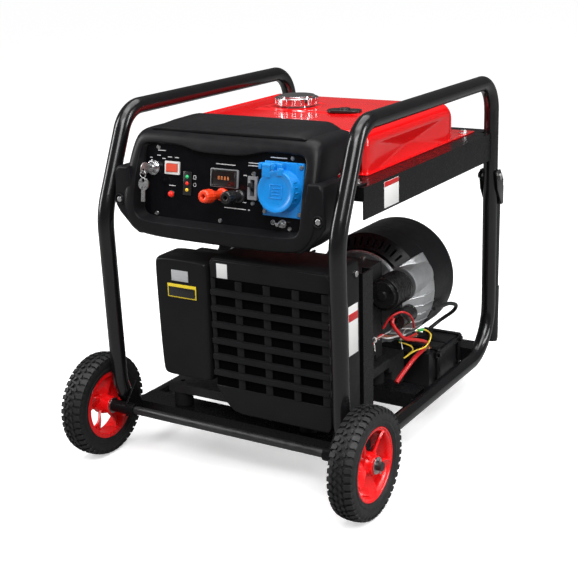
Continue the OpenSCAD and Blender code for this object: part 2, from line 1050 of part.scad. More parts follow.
module flywheel() {
    color([0.4, 0.4, 0.42])
        difference() {
            union() {
                rod_y(crank_x, 88, 112, crank_z, 74);
                for (i = [0 : 11])
                    translate([crank_x, 100, crank_z])
                        rotate([0, 30 * i, 0])
                            translate([0, 0, 66])
                                box([-2, 11, -24], [2, 24, 14]);
            }
            rod_y(crank_x, 80, 140, crank_z, shaft_r);
        }
}

module rotor() {
    color([0.3, 0.3, 0.32])
        difference() {
            union() {
                rod_y(crank_x, 140, 200, crank_z, 78);
                rod_y(crank_x, 200, 238, crank_z, 34);
            }
            rod_y(crank_x, 130, 250, crank_z, shaft_r);
            for (i = [0 : 7])
                translate([crank_x, 0, crank_z])
                    rotate([0, 45 * i, 0])
                        rod_y(0, 130, 210, 52, 11);
        }
}

module stator() {
    color([0.35, 0.35, 0.36])
        translate([crank_x, 184, crank_z])
            rotate([90, 0, 0])
                linear_extrude(30)
                    difference() {
                        circle(114);
                        circle(80);
                        for (i = [0 : 23])
                            rotate(15 * i)
                                translate([78, -4])
                                    square([20, 8]);
                    }
}

// Sector of a shell of revolution about the crank axis, front opening towards -Y
module crank_sector(start, sweep) {
    translate([crank_x, 0, crank_z])
        rotate([90, 0, 0])
            rotate([0, 0, start])
                rotate_extrude(angle = sweep)
                    children();
}

module bell_housing() {
    color([0.62, 0.63, 0.65])
        difference() {
            union() {
                crank_sector(-160, 200)
                    polygon([[82, -66], [91, -59], [113, -108], [117, -140], [117, -153], [108, -153],
                             [108, -112], [87, -70]]);
                rod_y(crank_x, 57, 68, crank_z, 88);
                rod_y(175, 62.5, 147, 300, 32);
            }
            rod_y(crank_x, 50, 80, crank_z, 53);
            rod_y(crank_x, 68, 165, crank_z, 81);
            rod_y(175, 50, 70, 300, 13);
            rod_y(175, 65, 141, 300, 26);
        }
}

module fan_cowl() {
    color([0.08, 0.08, 0.085])
        difference() {
            crank_sector(41, 158)
                polygon([[92, -74], [118, -98], [118, -153], [114, -153], [114, -101], [92, -79]]);
            for (a = [48 : 8 : 192])
                translate([crank_x, 0, crank_z])
                    rotate([0, -a, 0])
                        box([97, 70, -2.2], [111, 110, 2.2]);
        }
}

module drum_cover() {
    color([0.04, 0.04, 0.045])
        difference() {
            translate([crank_x, 0, crank_z])
                rotate([90, 0, 0])
                    rotate_extrude()
                        polygon([
                            [114.2, -153.5], [drum_d / 2, -153.5],
                            for (a = [0 : 10 : 90])
                                [drum_d / 2 - 26 + 26 * cos(a), -239 - 26 * sin(a)],
                            [20, -265], [20, -262],
                            for (a = [90 : -10 : 0])
                                [drum_d / 2 - 29 + 26 * cos(a), -236 - 26 * sin(a)],
                            [114.2, -184]
                        ]);
        }
}

module starter_motor() {
    color([0.07, 0.07, 0.07]) {
        rod_y(175, -10, 50, 300, 32);
        rod_y(175, -16, -10, 300, 26);
        rod_y(175, -20, -16, 300, 9);
    }
    color([0.5, 0.5, 0.5]) {
        rod_y(175, 50, 57, 300, 29);
        rod_y(175, 57, 108, 300, 12);
    }
}

module starter_solenoid() {
    color([0.1, 0.1, 0.1])
        rod_y(197, 0, 58, 248, 17);
    color([0.75, 0.6, 0.4])
        for (z = [240, 257])
            rod_y(197, -10, 0, z, 3);
}

module muffler() {
    color([0.3, 0.29, 0.28])
        difference() {
            union() {
                round_box_y([18, -282, 208], [196, -186, 392], 30);
                rod_y(30, -190, -160, 362, 12);
                rod_x(-70, 30, -160, 362, 12);
                rod_y(-70, -160, -129.5, 362, 12);
                for (x = [-70, 30])
                    translate([x, -160, 362])
                        sphere(12);
            }
            round_box_y([21, -279, 211], [193, -189, 389], 27);
            rod_y(150, -290, -270, 240, 11);
        }
}

module muffler_shield() {
    color([0.08, 0.08, 0.085]) {
        box([180, -172, 108], [216, -169, 390]);
        box([213, -172, 108], [216, -134, 390]);
        box([196, -137, 108], [216, -134, 390]);
        box([180, -172, 104], [216, -134, 108]);
        box([196, -216, 104], [216, -170, 107]);
    }
}

// ---------- battery ----------

module battery() {
    color([0.05, 0.05, 0.055]) {
        difference() {
            box([146, 118, 55], [212, 270, 142]);
            box([140, 196, 136], [220, 202, 143]);
        }
        rod_z(200, 132, 142, 150, 7);
        rod_z(160, 234, 142, 150, 7);
    }
}

STRAP_Y = [146, 252];

module battery_tray() {
    color([0.08, 0.08, 0.085]) {
        difference() {
            box([136, 112, 51], [217, 278, 72]);
            box([139, 115, 55], [214, 275, 80]);
        }
        box([146, 46, 71], [162, 118, 74]);
        box([146, 272, 51], [206, 284, 54]);
        box([146, 281, 51], [206, 284, 100]);
        for (y = STRAP_Y) {
            box([140, y, 142], [218, y + 12, 145]);
            box([214, y, 70], [218, y + 12, 142]);
            box([136, y, 70], [140, y + 12, 145]);
        }
        box([214, 140, 128], [218, 270, 140]);
    }
    color([0.75, 0.75, 0.76])
        for (y = STRAP_Y)
            rod_x(218, 223, y + 6, 134, 6);
}

RED_CABLE = [[200, 132, 154], [203, 118, 158], [206, 95, 158], [205, 70, 154], [203, 48, 146],
             [199, 26, 134], [194, 6, 120]];
RED_LEAD = [[197, -14, 258], [199, -21, 250], [207, -17, 234], [212, 4, 214], [213, 46, 198], [213, 82, 184],
            [210, 112, 170], [203, 128, 158]];
BLACK_LEAD = [[160, 234, 154], [174, 254, 168], [200, 262, 190], [216, 240, 212], [217, 205, 226],
              [217, 168, 232], [215, 132, 236]];

module battery_cables() {
    color([0.85, 0.04, 0.04]) {
        cable(RED_CABLE, 4.5);
        cable(RED_LEAD, 3.5);
    }
    color([0.04, 0.04, 0.04])
        cable(BLACK_LEAD, 4);
}

MAIN_LOOM = [[172, -118, 168], [173, -96, 196], [177, -70, 220], [184, -46, 230], [191, -24, 222],
             [198, 6, 214], [204, 40, 206], [206, 70, 200]];
SIDE_LOOM = [[186, -34, 242], [197, -28, 262], [212, -14, 272], [219, 8, 262], [219, 26, 244], [214, 42, 224]];
YELLOW_A = [[196, 12, 202], [206, 22, 196], [212, 34, 188], [212, 40, 178], [206, 36, 170], [200, 26, 164]];
YELLOW_B = [[200, 30, 164], [208, 58, 170], [219, 86, 172], [220, 108, 188], [211, 98, 202], [202, 80, 204]];

module wiring_harness() {
    color([0.6, 0.1, 0.08])
        cable(MAIN_LOOM, 5);
    color([0.8, 0.08, 0.05])
        cable(SIDE_LOOM, 2.2);
    color([0.95, 0.75, 0.1]) {
        cable(YELLOW_A, 1.8);
        cable(YELLOW_B, 1.8);
    }
}

// ---------- folding handles ----------

module handle() {
    y0 = leg_rear_y + 2;
    color([0.07, 0.07, 0.075])
        difference() {
            union() {
                for (x = [hx - 19.5, hx + 16])
                    profile_x(x, x + 3.5)
                        polygon([[y0 - 13, pivot_z + 8], [y0 - 8, pivot_z + 14], [y0 + 8, pivot_z + 14],
                                 [y0 + 26, pivot_z - 10], [y0 + 26, pivot_z - 62],
                                 [y0 + 18, pivot_z - 62], [y0 - 6, pivot_z - 26]]);
                box([hx - 19.5, y0 + 18.5, pivot_z - 62], [hx + 19.5, y0 + 28, pivot_z - 24]);
                rod_z(hx, y0 + handle_y, pivot_z - handle_len, pivot_z - 22, handle_r);
            }
            rod_x(hx - 30, hx + 30, y0, pivot_z, 4.06);
        }
    color([0.05, 0.05, 0.05])
        difference() {
            union() {
                rod_z(hx, y0 + handle_y, pivot_z - handle_len - 6, pivot_z - handle_len, grip_r - 2);
                rod_z(hx, y0 + handle_y, pivot_z - handle_len, pivot_z - handle_len + 118, grip_r - 1);
            }
            rod_z(hx, y0 + handle_y, pivot_z - handle_len, pivot_z, handle_r);
        }
}

module right_handle() {
    handle();
}

module left_handle() {
    mirror([1, 0, 0])
        handle();
}

left_hoop();
right_hoop();
cross_beams();
rear_feet();
engine_mounts();
axle_sleeves();
axle();
axle_fasteners();
left_rim();
right_rim();
left_tyre();
right_tyre();
tank_cradle();
fuel_tank();
fuel_cap();
fuel_gauge();
frame_bolts();
fascia();
control_panel();
panel_screws();
digital_meter();
key_switch();
ignition_key();
key_ring();
rocker_frame();
start_rocker();
indicator_lamps();
breaker_body();
breaker_toggle();
socket_base();
socket_lid();
red_terminal();
black_terminal();
ground_stud();
front_cover();
air_cleaner_base();
air_cleaner_cover();
carburettor();
choke_lever();
crankcase();
cylinder_head();
valve_cover();
spark_plug();
crankshaft();
flywheel();
rotor();
stator();
bell_housing();
fan_cowl();
drum_cover();
starter_motor();
starter_solenoid();
muffler();
muffler_shield();
battery();
battery_tray();
battery_cables();
wiring_harness();
left_handle();
right_handle();
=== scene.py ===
"""Looks of an open-frame engine driven welder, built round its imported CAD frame.

Lengths inside the shape functions are millimetres in the frame's axes; meshes are scaled to metres.
"""

import json
from math import cos, pi, radians, sin, sqrt, tau

import bmesh
import bpy
from mathutils import Matrix, Vector

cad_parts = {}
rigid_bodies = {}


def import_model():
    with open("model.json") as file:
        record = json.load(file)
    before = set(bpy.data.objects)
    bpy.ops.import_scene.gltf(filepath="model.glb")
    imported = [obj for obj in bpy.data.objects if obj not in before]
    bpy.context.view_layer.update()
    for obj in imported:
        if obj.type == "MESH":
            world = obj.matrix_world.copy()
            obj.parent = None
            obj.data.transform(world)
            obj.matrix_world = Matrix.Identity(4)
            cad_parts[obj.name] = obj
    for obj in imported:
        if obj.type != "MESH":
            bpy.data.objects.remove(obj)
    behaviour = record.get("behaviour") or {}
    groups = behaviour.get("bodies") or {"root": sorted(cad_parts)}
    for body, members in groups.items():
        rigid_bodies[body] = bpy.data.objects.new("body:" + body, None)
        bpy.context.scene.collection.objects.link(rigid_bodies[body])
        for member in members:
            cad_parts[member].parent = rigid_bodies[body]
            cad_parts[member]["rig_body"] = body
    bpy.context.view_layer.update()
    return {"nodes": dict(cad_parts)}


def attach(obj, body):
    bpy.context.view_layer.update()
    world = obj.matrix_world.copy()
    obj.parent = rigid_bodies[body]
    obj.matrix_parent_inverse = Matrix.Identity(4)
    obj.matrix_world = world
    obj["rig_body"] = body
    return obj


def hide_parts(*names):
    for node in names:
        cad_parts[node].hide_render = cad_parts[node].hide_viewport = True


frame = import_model()
MM = 0.001

# ---------------------------------------------------------------- dimensions (mm)

WHEEL_X, AXLE_Y, AXLE_Z, WHEEL_R = 285.0, -300.0, 100.0, 100.0
PANEL_Y, PANEL_Z, PANEL_TILT = -274.5, 547.0, radians(8)
CRANK_X, CRANK_Z = 90.0, 268.0
TANK_TOP = 632.0
PANEL_UP = Vector((0, sin(PANEL_TILT), cos(PANEL_TILT)))
PANEL_OUT = Vector((0, -cos(PANEL_TILT), sin(PANEL_TILT)))


def at_panel(x, out, up):
    """Point given across, out of and up the control panel, in the frame."""
    return Vector((x, PANEL_Y, PANEL_Z)) + PANEL_OUT * out + PANEL_UP * up


# ---------------------------------------------------------------- materials

def shader(name, color, roughness, metallic=0.0, coat=0.0, specular=0.5):
    material = bpy.data.materials.new(name)
    material.use_nodes = True
    nodes = material.node_tree.nodes
    principled = nodes["Principled BSDF"]
    principled.inputs["Base Color"].default_value = (*color, 1)
    principled.inputs["Roughness"].default_value = roughness
    principled.inputs["Metallic"].default_value = metallic
    principled.inputs["Coat Weight"].default_value = coat
    principled.inputs["Coat Roughness"].default_value = 0.08
    principled.inputs["Specular IOR Level"].default_value = specular
    return material, principled


def add(material, kind, links=(), **values):
    """A new node with its inputs set by name and linked from (input, node, output) triples."""
    node = material.node_tree.nodes.new(kind)
    for key, value in values.items():
        if hasattr(node, key):
            setattr(node, key, value)
        else:
            node.inputs[key.replace("_", " ")].default_value = value
    for socket, source, output in links:
        material.node_tree.links.new(source.outputs[output], node.inputs[socket])
    return node


def join(material, source, output, target, socket):
    material.node_tree.links.new(source.outputs[output], target.inputs[socket])


def scaled_coordinates(material, stretch=(1, 1, 1)):
    coordinates = add(material, "ShaderNodeTexCoord")
    return add(material, "ShaderNodeMapping", [("Vector", coordinates, "Object")], Scale=stretch)


def detailed(name, dark, light, rough, metallic=0.0, coat=0.0, grain=900.0, bump=0.15, depth=0.0002,
             patches=22.0, stretch=(1, 1, 1), wear=None, specular=0.5):
    """A surface with drifting colour and gloss, a fine grain in its relief, and an optional worn edge."""
    material, principled = shader(name, dark, rough[0], metallic, coat, specular)
    place = scaled_coordinates(material, stretch)
    drift = add(material, "ShaderNodeTexNoise", [("Vector", place, "Vector")], Scale=patches, Detail=6.0)
    mix = add(material, "ShaderNodeMix", [("Factor", drift, "Fac")], data_type="RGBA")
    mix.inputs[6].default_value = (*dark, 1)
    mix.inputs[7].default_value = (*light, 1)
    colour, colour_out = mix, 2
    if wear:
        geometry = add(material, "ShaderNodeNewGeometry")
        edge = add(material, "ShaderNodeMapRange", [("Value", geometry, "Pointiness")])
        edge.inputs["From Min"].default_value = 0.53
        edge.inputs["From Max"].default_value = 0.62
        edge.inputs["To Max"].default_value = 0.55
        worn = add(material, "ShaderNodeMix", [("Factor", edge, "Result")], data_type="RGBA")
        join(material, mix, 2, worn, 6)
        worn.inputs[7].default_value = (*wear, 1)
        colour = worn
    join(material, colour, colour_out, principled, "Base Color")
    smear = add(material, "ShaderNodeTexNoise", [("Vector", place, "Vector")], Scale=patches * 2.7, Detail=8.0)
    gloss = add(material, "ShaderNodeMapRange", [("Value", smear, "Fac")])
    gloss.inputs["From Min"].default_value = 0.3
    gloss.inputs["From Max"].default_value = 0.7
    gloss.inputs["To Min"].default_value = rough[0]
    gloss.inputs["To Max"].default_value = rough[1]
    join(material, gloss, "Result", principled, "Roughness")
    fine = add(material, "ShaderNodeTexNoise", [("Vector", place, "Vector")], Scale=grain, Detail=3.0)
    relief = add(material, "ShaderNodeBump", [("Height", fine, "Fac")], Strength=bump, Distance=depth)
    join(material, relief, "Normal", principled, "Normal")
    return material


def glowing(name, color, strength):
    material, principled = shader(name, color, 0.3)
    principled.inputs["Emission Color"].default_value = (*color, 1)
    principled.inputs["Emission Strength"].default_value = strength
    return material


PAINT = {
    "tube": detailed("powder_coated_tube", (0.004, 0.004, 0.0045), (0.007, 0.007, 0.008), (0.17, 0.26),
                     coat=0.3, grain=700, bump=0.04, specular=0.4),
    "sheet": detailed("black_sheet_paint", (0.004, 0.004, 0.0045), (0.008, 0.008, 0.009), (0.22, 0.34),
                      grain=800, bump=0.08, specular=0.15),
    "red": detailed("red_tank_enamel", (0.93, 0.004, 0.006), (0.98, 0.008, 0.01), (0.12, 0.2), coat=0.6,
                    grain=240, bump=0.04, depth=0.0003, patches=9),
    "rim": detailed("red_moulded_rim", (0.88, 0.004, 0.006), (0.95, 0.01, 0.012), (0.22, 0.34), coat=0.3,
                    grain=1200, bump=0.1),
    "shell": detailed("charcoal_moulding", (0.006, 0.006, 0.007), (0.011, 0.011, 0.012), (0.28, 0.4),
                      grain=1600, bump=0.2, specular=0.16),
    "cover": detailed("grained_cover", (0.006, 0.006, 0.0065), (0.011, 0.011, 0.012), (0.3, 0.42), grain=1500,
                      bump=0.25, specular=0.15),
    "panel": detailed("gloss_panel", (0.002, 0.002, 0.003), (0.004, 0.004, 0.005), (0.16, 0.26), coat=0.08,
                      grain=1100, bump=0.05, specular=0.15),
    "rubber": detailed("black_rubber", (0.007, 0.007, 0.007), (0.014, 0.014, 0.014), (0.62, 0.8), grain=1200,
                       bump=0.4, specular=0.2),
    "tyre": detailed("tyre_rubber", (0.008, 0.008, 0.009), (0.018, 0.018, 0.019), (0.42, 0.62), grain=1300,
                     bump=0.4, patches=40, specular=0.35),
    "chrome": detailed("polished_chrome", (0.78, 0.78, 0.8), (0.88, 0.88, 0.9), (0.05, 0.14), metallic=1.0,
                       grain=300, bump=0.03),
    "zinc": detailed("zinc_plate", (0.5, 0.5, 0.5), (0.68, 0.68, 0.67), (0.22, 0.42), metallic=1.0, grain=1500,
                     bump=0.2, patches=120),
    "dark_steel": detailed("blackened_steel", (0.05, 0.05, 0.052), (0.1, 0.1, 0.1), (0.3, 0.5), metallic=0.9,
                           bump=0.2),
    "blue": detailed("blue_socket_plastic", (0.005, 0.22, 0.66), (0.008, 0.27, 0.74), (0.24, 0.36), coat=0.25,
                     grain=1100, bump=0.1),
    "white": detailed("white_plastic", (0.72, 0.7, 0.68), (0.8, 0.79, 0.77), (0.3, 0.42), bump=0.08),
    "orange": detailed("red_terminal_plastic", (0.88, 0.04, 0.008), (0.95, 0.06, 0.012), (0.2, 0.32),
                       coat=0.3, bump=0.08),
    "black_gloss": detailed("black_terminal_plastic", (0.008, 0.008, 0.008), (0.016, 0.016, 0.016),
                            (0.2, 0.34), bump=0.08),
    "grey": detailed("grey_plastic", (0.2, 0.2, 0.21), (0.27, 0.27, 0.28), (0.35, 0.5)),
    "cast": detailed("cast_aluminium", (0.4, 0.41, 0.42), (0.62, 0.63, 0.64), (0.3, 0.5), metallic=0.85,
                     grain=520, bump=0.7, depth=0.0006, patches=60),
    "cast_dark": detailed("sooty_casting", (0.012, 0.012, 0.013), (0.035, 0.035, 0.036), (0.4, 0.6), metallic=0.3,
                          grain=420, bump=0.7, depth=0.0006, patches=45),
    "iron": detailed("stacked_iron", (0.2, 0.2, 0.2), (0.33, 0.32, 0.31), (0.3, 0.45), metallic=0.9,
                     bump=0.3, stretch=(1, 12, 1)),
    "heat": detailed("heat_stained_steel", (0.1, 0.085, 0.07), (0.26, 0.22, 0.18), (0.35, 0.6), metallic=0.8,
                     grain=500, bump=0.4, patches=30),
    "ceramic": detailed("white_ceramic", (0.75, 0.75, 0.72), (0.83, 0.83, 0.81), (0.15, 0.25),
                        bump=0.05),
    "battery": detailed("battery_case", (0.007, 0.007, 0.008), (0.013, 0.013, 0.014), (0.3, 0.45),
                        bump=0.2, specular=0.3),
    "red_cable": detailed("red_cable_sleeve", (0.5, 0.006, 0.008), (0.62, 0.012, 0.014), (0.25, 0.4), grain=500),
    "brown_cable": detailed("brown_cable_sleeve", (0.16, 0.05, 0.025), (0.24, 0.08, 0.04), (0.35, 0.5),
                            grain=500),
    "black_cable": detailed("black_cable_sleeve", (0.01, 0.01, 0.011), (0.02, 0.02, 0.021), (0.3, 0.45),
                            grain=500, bump=0.2),
    "yellow_cable": detailed("yellow_cable_sleeve", (0.75, 0.52, 0.02), (0.82, 0.6, 0.05), (0.3, 0.42),
                             grain=500, bump=0.1),
    "green_cable": detailed("green_cable_sleeve", (0.02, 0.3, 0.06), (0.04, 0.42, 0.1), (0.3, 0.42), grain=500,
                            bump=0.1),
    "white_cable": detailed("white_cable_sleeve", (0.72, 0.72, 0.7), (0.8, 0.8, 0.78), (0.3, 0.45), grain=500,
                            bump=0.1),
    "paper": detailed("blank_label", (0.8, 0.8, 0.79), (0.86, 0.86, 0.85), (0.35, 0.5), grain=1500, bump=0.05),
    "yellow_label": detailed("yellow_label", (0.8, 0.58, 0.02), (0.86, 0.66, 0.04), (0.35, 0.5), grain=1500,
                             bump=0.05),
    "silver_label": detailed("silver_label", (0.5, 0.51, 0.52), (0.62, 0.63, 0.64), (0.25, 0.4), metallic=0.3,
                             grain=1500, bump=0.1, stretch=(1, 1, 20)),
    "copper": detailed("copper_lug", (0.75, 0.33, 0.16), (0.85, 0.45, 0.25), (0.2, 0.4), metallic=1.0),
    "smoked": detailed("smoked_window", (0.008, 0.004, 0.004), (0.014, 0.008, 0.008), (0.08, 0.16), coat=0.5,
                       bump=0.03),
    # Near-black, almost unreflecting: painted shade for the dark inside of openings, not a real part's colour
    "painted_shade": detailed("unlit_opening", (0.001, 0.001, 0.001), (0.002, 0.002, 0.002), (0.9, 1.0), specular=0.02),
    "print": detailed("panel_print", (0.55, 0.55, 0.55), (0.62, 0.62, 0.62), (0.3, 0.4), bump=0.05),
    "digits": glowing("orange_digits", (0.75, 0.25, 0.08), 0.35),
    "lamp_rocker": detailed("lit_red_rocker", (0.75, 0.06, 0.03), (0.85, 0.12, 0.07), (0.14, 0.24), coat=0.5,
                            grain=600, bump=0.05),
    "lamp_green": glowing("green_lamp", (0.02, 0.5, 0.16), 0.25),
    "lamp_red": glowing("red_lamp", (0.8, 0.02, 0.01), 0.3),
    "lamp_yellow": glowing("yellow_lamp", (0.8, 0.5, 0.02), 0.25),
}

# ---------------------------------------------------------------- mesh tools


class Shape:
    """Collects solids in millimetres and turns them into one piece of the object."""

    def __init__(self):
        self.mesh = bmesh.new()

    def take(self, vertices, faces):
        made = [self.mesh.verts.new(v) for v in vertices]
        return [self.mesh.faces.new([made[i] for i in face]) for face in faces]

    def merge(self, part, matrix=Matrix.Identity(4)):
        """Adds another bmesh, moved by a matrix."""
        part.verts.index_update()
        self.take([matrix @ v.co for v in part.verts], [[v.index for v in f.verts] for f in part.faces])
        part.free()

    def block(self, low, high, round_by=0.0, steps=2, matrix=Matrix.Identity(4)):
        part = bmesh.new()
        centre = [(a + b) / 2 for a, b in zip(low, high)]
        size = [b - a for a, b in zip(low, high)]
        bmesh.ops.create_cube(part, size=1, matrix=Matrix.Translation(centre) @ Matrix.Diagonal((*size, 1)))
        if round_by:
            bmesh.ops.bevel(part, geom=list(part.edges), offset=min(round_by, min(size) * 0.45),
                            segments=steps, profile=0.5, affect="EDGES")
        self.merge(part, matrix)

    def turned(self, profile, start, direction, steps=32, closed=False):
        """A lathe shape: (radius, distance) points about an axis from start along direction."""
        axis = Vector(direction).normalized()
        side = axis.orthogonal().normalized()
        other = axis.cross(side)
        rings = []
        for radius, along in profile:
            centre = Vector(start) + axis * along
            if radius < 1e-6:
                rings.append([self.mesh.verts.new(centre)])
                continue
            rings.append([self.mesh.verts.new(centre + (side * cos(a) + other * sin(a)) * radius)
                          for a in (tau * k / steps for k in range(steps))])
        pairs = list(zip(rings, rings[1:] + rings[:1])) if closed else list(zip(rings, rings[1:]))
        for a, b in pairs:
            for k in range(steps):
                n = (k + 1) % steps
                if len(a) == 1 and len(b) == 1:
                    break
                if len(a) == 1:
                    self.mesh.faces.new([a[0], b[k], b[n]])
                elif len(b) == 1:
                    self.mesh.faces.new([a[k], a[n], b[0]])
                else:
                    self.mesh.faces.new([a[k], a[n], b[n], b[k]])

    def rod(self, start, end, radius, edge=0.6, steps=24):
        """A round bar with softened ends."""
        start, end = Vector(start), Vector(end)
        length = (end - start).length
        edge = min(edge, radius * 0.4, length * 0.4)
        self.turned([(0, 0), (radius - edge, 0), (radius, edge), (radius, length - edge),
                     (radius - edge, length), (0, length)], start, end - start, steps)

    def hexagon(self, start, direction, across, height):
        axis = Vector(direction).normalized()
        r = across / sqrt(3)
        self.turned([(0, 0), (r, 0), (r, height - 1), (r - 1, height), (0, height)], start, axis, 6)

    def plate(self, outline, low, high, plane="xz", round_by=0.0, steps=2):
        """An outline thickened across its plane between two levels, with its rims rounded."""
        part = bmesh.new()

        def lift(u, v, level):
            return {"xz": (u, level, v), "yz": (level, u, v), "xy": (u, v, level)}[plane]
        n = len(outline)
        verts = [part.verts.new(lift(u, v, w)) for w in (low, high) for u, v in outline]
        part.faces.new(verts[:n])
        part.faces.new(verts[n:][::-1])
        for k in range(n):
            part.faces.new([verts[k], verts[(k + 1) % n], verts[n + (k + 1) % n], verts[n + k]][::-1])
        if round_by:
            part.verts.index_update()
            rims = [e for e in part.edges if (e.verts[0].index < n) == (e.verts[1].index < n)]
            bmesh.ops.bevel(part, geom=rims, offset=round_by, segments=steps, profile=0.5, affect="EDGES")
        self.merge(part)

    def hose(self, points, radius, steps=10, ribs=0, rib_depth=0.0):
        """A round cable through the points, smoothed, with optional corrugations."""
        line = smooth_line([Vector(p) for p in points], 5 if not ribs else 14)
        up = Vector((0, 0, 1))
        rings = []
        for i, p in enumerate(line):
            run = (line[min(i + 1, len(line) - 1)] - line[max(i - 1, 0)]).normalized()
            side = run.cross(up)
            side = side.normalized() if side.length > 0.05 else run.orthogonal().normalized()
            other = run.cross(side)
            r = radius + (rib_depth if ribs and i % 2 else 0)
            rings.append([self.mesh.verts.new(p + (side * cos(a) + other * sin(a)) * r)
                          for a in (tau * k / steps for k in range(steps))])
        for a, b in zip(rings, rings[1:]):
            for k in range(steps):
                n = (k + 1) % steps
                self.mesh.faces.new([a[k], a[n], b[n], b[k]])
        self.mesh.faces.new(rings[0][::-1])
        self.mesh.faces.new(rings[-1])

    def done(self, name, paint, body="frame", replaces=(), slot=None, angle=38, soften=0.0, smooth=0, mirror=False):
        """Scales to metres and registers the piece on its body."""
        if mirror:
            bmesh.ops.transform(self.mesh, matrix=Matrix.Diagonal((-1, 1, 1, 1)), verts=self.mesh.verts)
        bmesh.ops.transform(self.mesh, matrix=Matrix.Diagonal((MM, MM, MM, 1)), verts=self.mesh.verts)
        bmesh.ops.recalc_face_normals(self.mesh, faces=self.mesh.faces)
        data = bpy.data.meshes.new(name)
        self.mesh.to_mesh(data)
        self.mesh.free()
        piece = bpy.data.objects.new(name, data)
        bpy.context.scene.collection.objects.link(piece)
        data.materials.append(PAINT[paint])
        finish_surface(piece, angle, soften, smooth)
        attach(piece, body)
        if replaces:
            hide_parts(*replaces)
        return piece


def smooth_line(points, steps):
    """Catmull-Rom curve through the points."""
    ends = [points[0] * 2 - points[1], *points, points[-1] * 2 - points[-2]]
    line = []
    for a, b, c, d in zip(ends, ends[1:], ends[2:], ends[3:]):
        for k in range(steps):
            t = k / steps
            line.append(0.5 * (2 * b + (c - a) * t + (2 * a - 5 * b + 4 * c - d) * t * t
                               + (3 * b - a - 3 * c + d) * t * t * t))
    return line + [points[-1]]


def finish_surface(piece, angle, soften=0.0, smooth=0):
    if soften:
        bevel = piece.modifiers.new("soft_edges", "BEVEL")
        bevel.width = soften * MM
        bevel.segments = 3
        bevel.limit_method = "ANGLE"
        bevel.angle_limit = radians(32)
        bevel.harden_normals = True
    if smooth:
        surface = piece.modifiers.new("smooth_surface", "SUBSURF")
        surface.levels = surface.render_levels = smooth
    piece.data.polygons.foreach_set("use_smooth", [True] * len(piece.data.polygons))
    piece.data.set_sharp_from_angle(angle=radians(angle))


def refined(node, paint, soften=0.8, name=None):
    """A copy of a CAD node with its flat faces joined and its edges softened, standing for the node."""
    source = frame["nodes"][node]
    mesh = bmesh.new()
    mesh.from_mesh(source.data)
    bmesh.ops.remove_doubles(mesh, verts=mesh.verts, dist=2e-6)
    bmesh.ops.dissolve_limit(mesh, angle_limit=radians(0.6), verts=mesh.verts, edges=mesh.edges)
    data = bpy.data.meshes.new((name or node) + "_look")
    mesh.to_mesh(data)
    mesh.free()
    data.materials.append(PAINT[paint])
    piece = bpy.data.objects.new((name or node) + "_look", data)
    bpy.context.scene.collection.objects.link(piece)
    finish_surface(piece, 34, soften)
    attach(piece, source["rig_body"])
    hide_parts(node)
    return piece


def painted(node, paint):
    """A CAD node kept as it is, with a detailed material."""
    piece = frame["nodes"][node]
    piece.data.materials.clear()
    piece.data.materials.append(PAINT[paint])
    for polygon in piece.data.polygons:
        polygon.material_index = 0
    return piece

# ---------------------------------------------------------------- carried-over nodes

KEPT = {
    "left_hoop": "tube", "right_hoop": "tube", "axle": "dark_steel", "crankshaft": "dark_steel",
    "flywheel": "iron", "rotor": "iron", "stator": "iron",
}
for node, paint in KEPT.items():
    painted(node, paint)

REFINED = {
    "cross_beams": ("sheet", 1.0), "rear_feet": ("rubber", 1.5), "engine_mounts": ("rubber", 1.2),
    "axle_sleeves": ("sheet", 0.6), "axle_fasteners": ("zinc", 0.3), "tank_cradle": ("sheet", 0.9),
    "fuel_gauge": ("black_gloss", 1.2), "frame_bolts": ("zinc", 0.5),
    "control_panel": ("panel", 0.3), "panel_screws": ("zinc", 0.15), "key_switch": ("chrome", 0.7),
    "ignition_key": ("zinc", 0.25), "key_ring": ("zinc", 0.25), "rocker_frame": ("white", 0.5),
    "breaker_body": ("grey", 0.5), "breaker_toggle": ("black_gloss", 0.7),
    "ground_stud": ("zinc", 0.3), "air_cleaner_base": ("cover", 1.5),
    "carburettor": ("cast", 1.0), "choke_lever": ("zinc", 0.4), "crankcase": ("cast_dark", 1.6),
    "cylinder_head": ("cast", 0.9), "valve_cover": ("sheet", 2.5), "spark_plug": ("ceramic", 0.6),
    "bell_housing": ("cast", 1.3), "fan_cowl": ("shell", 0.5), "starter_motor": ("black_gloss", 1.2),
    "starter_solenoid": ("black_gloss", 0.8), "muffler": ("heat", 1.2), "muffler_shield": ("sheet", 0.7),
    "battery": ("battery", 1.4), "battery_tray": ("sheet", 0.6),
    "left_handle": ("tube", 0.8), "right_handle": ("tube", 0.8),
    "fuel_cap": ("chrome", 0.9), "drum_cover": ("shell", 0.6),
}
for node, (paint, soften) in REFINED.items():
    refined(node, paint, soften)

def lofted(shape, rings, capped=False):
    """Bands of quads between closed rings with the same number of points, with flat ends if capped."""
    n = len(rings[0])
    points = [p for ring in rings for p in ring]
    ends = [list(range(n)), list(range(len(points) - n, len(points)))[::-1]] if capped else []
    shape.take(points, [[i * n + k, i * n + (k + 1) % n, (i + 1) * n + (k + 1) % n, (i + 1) * n + k]
                        for i in range(len(rings) - 1) for k in range(n)] + ends)


# ---------------------------------------------------------------- wheels


def ring_point(radius, angle, x):
    """Point on the right wheel: angle about the axle, x along it from the wheel's middle plane."""
    return (WHEEL_X + x, AXLE_Y + radius * cos(angle), AXLE_Z + radius * sin(angle))


def crown(x):
    """Radius of the tread surface across its width."""
    return WHEEL_R - 0.0052 * x * x * (1 + (abs(x) / 23) ** 4)


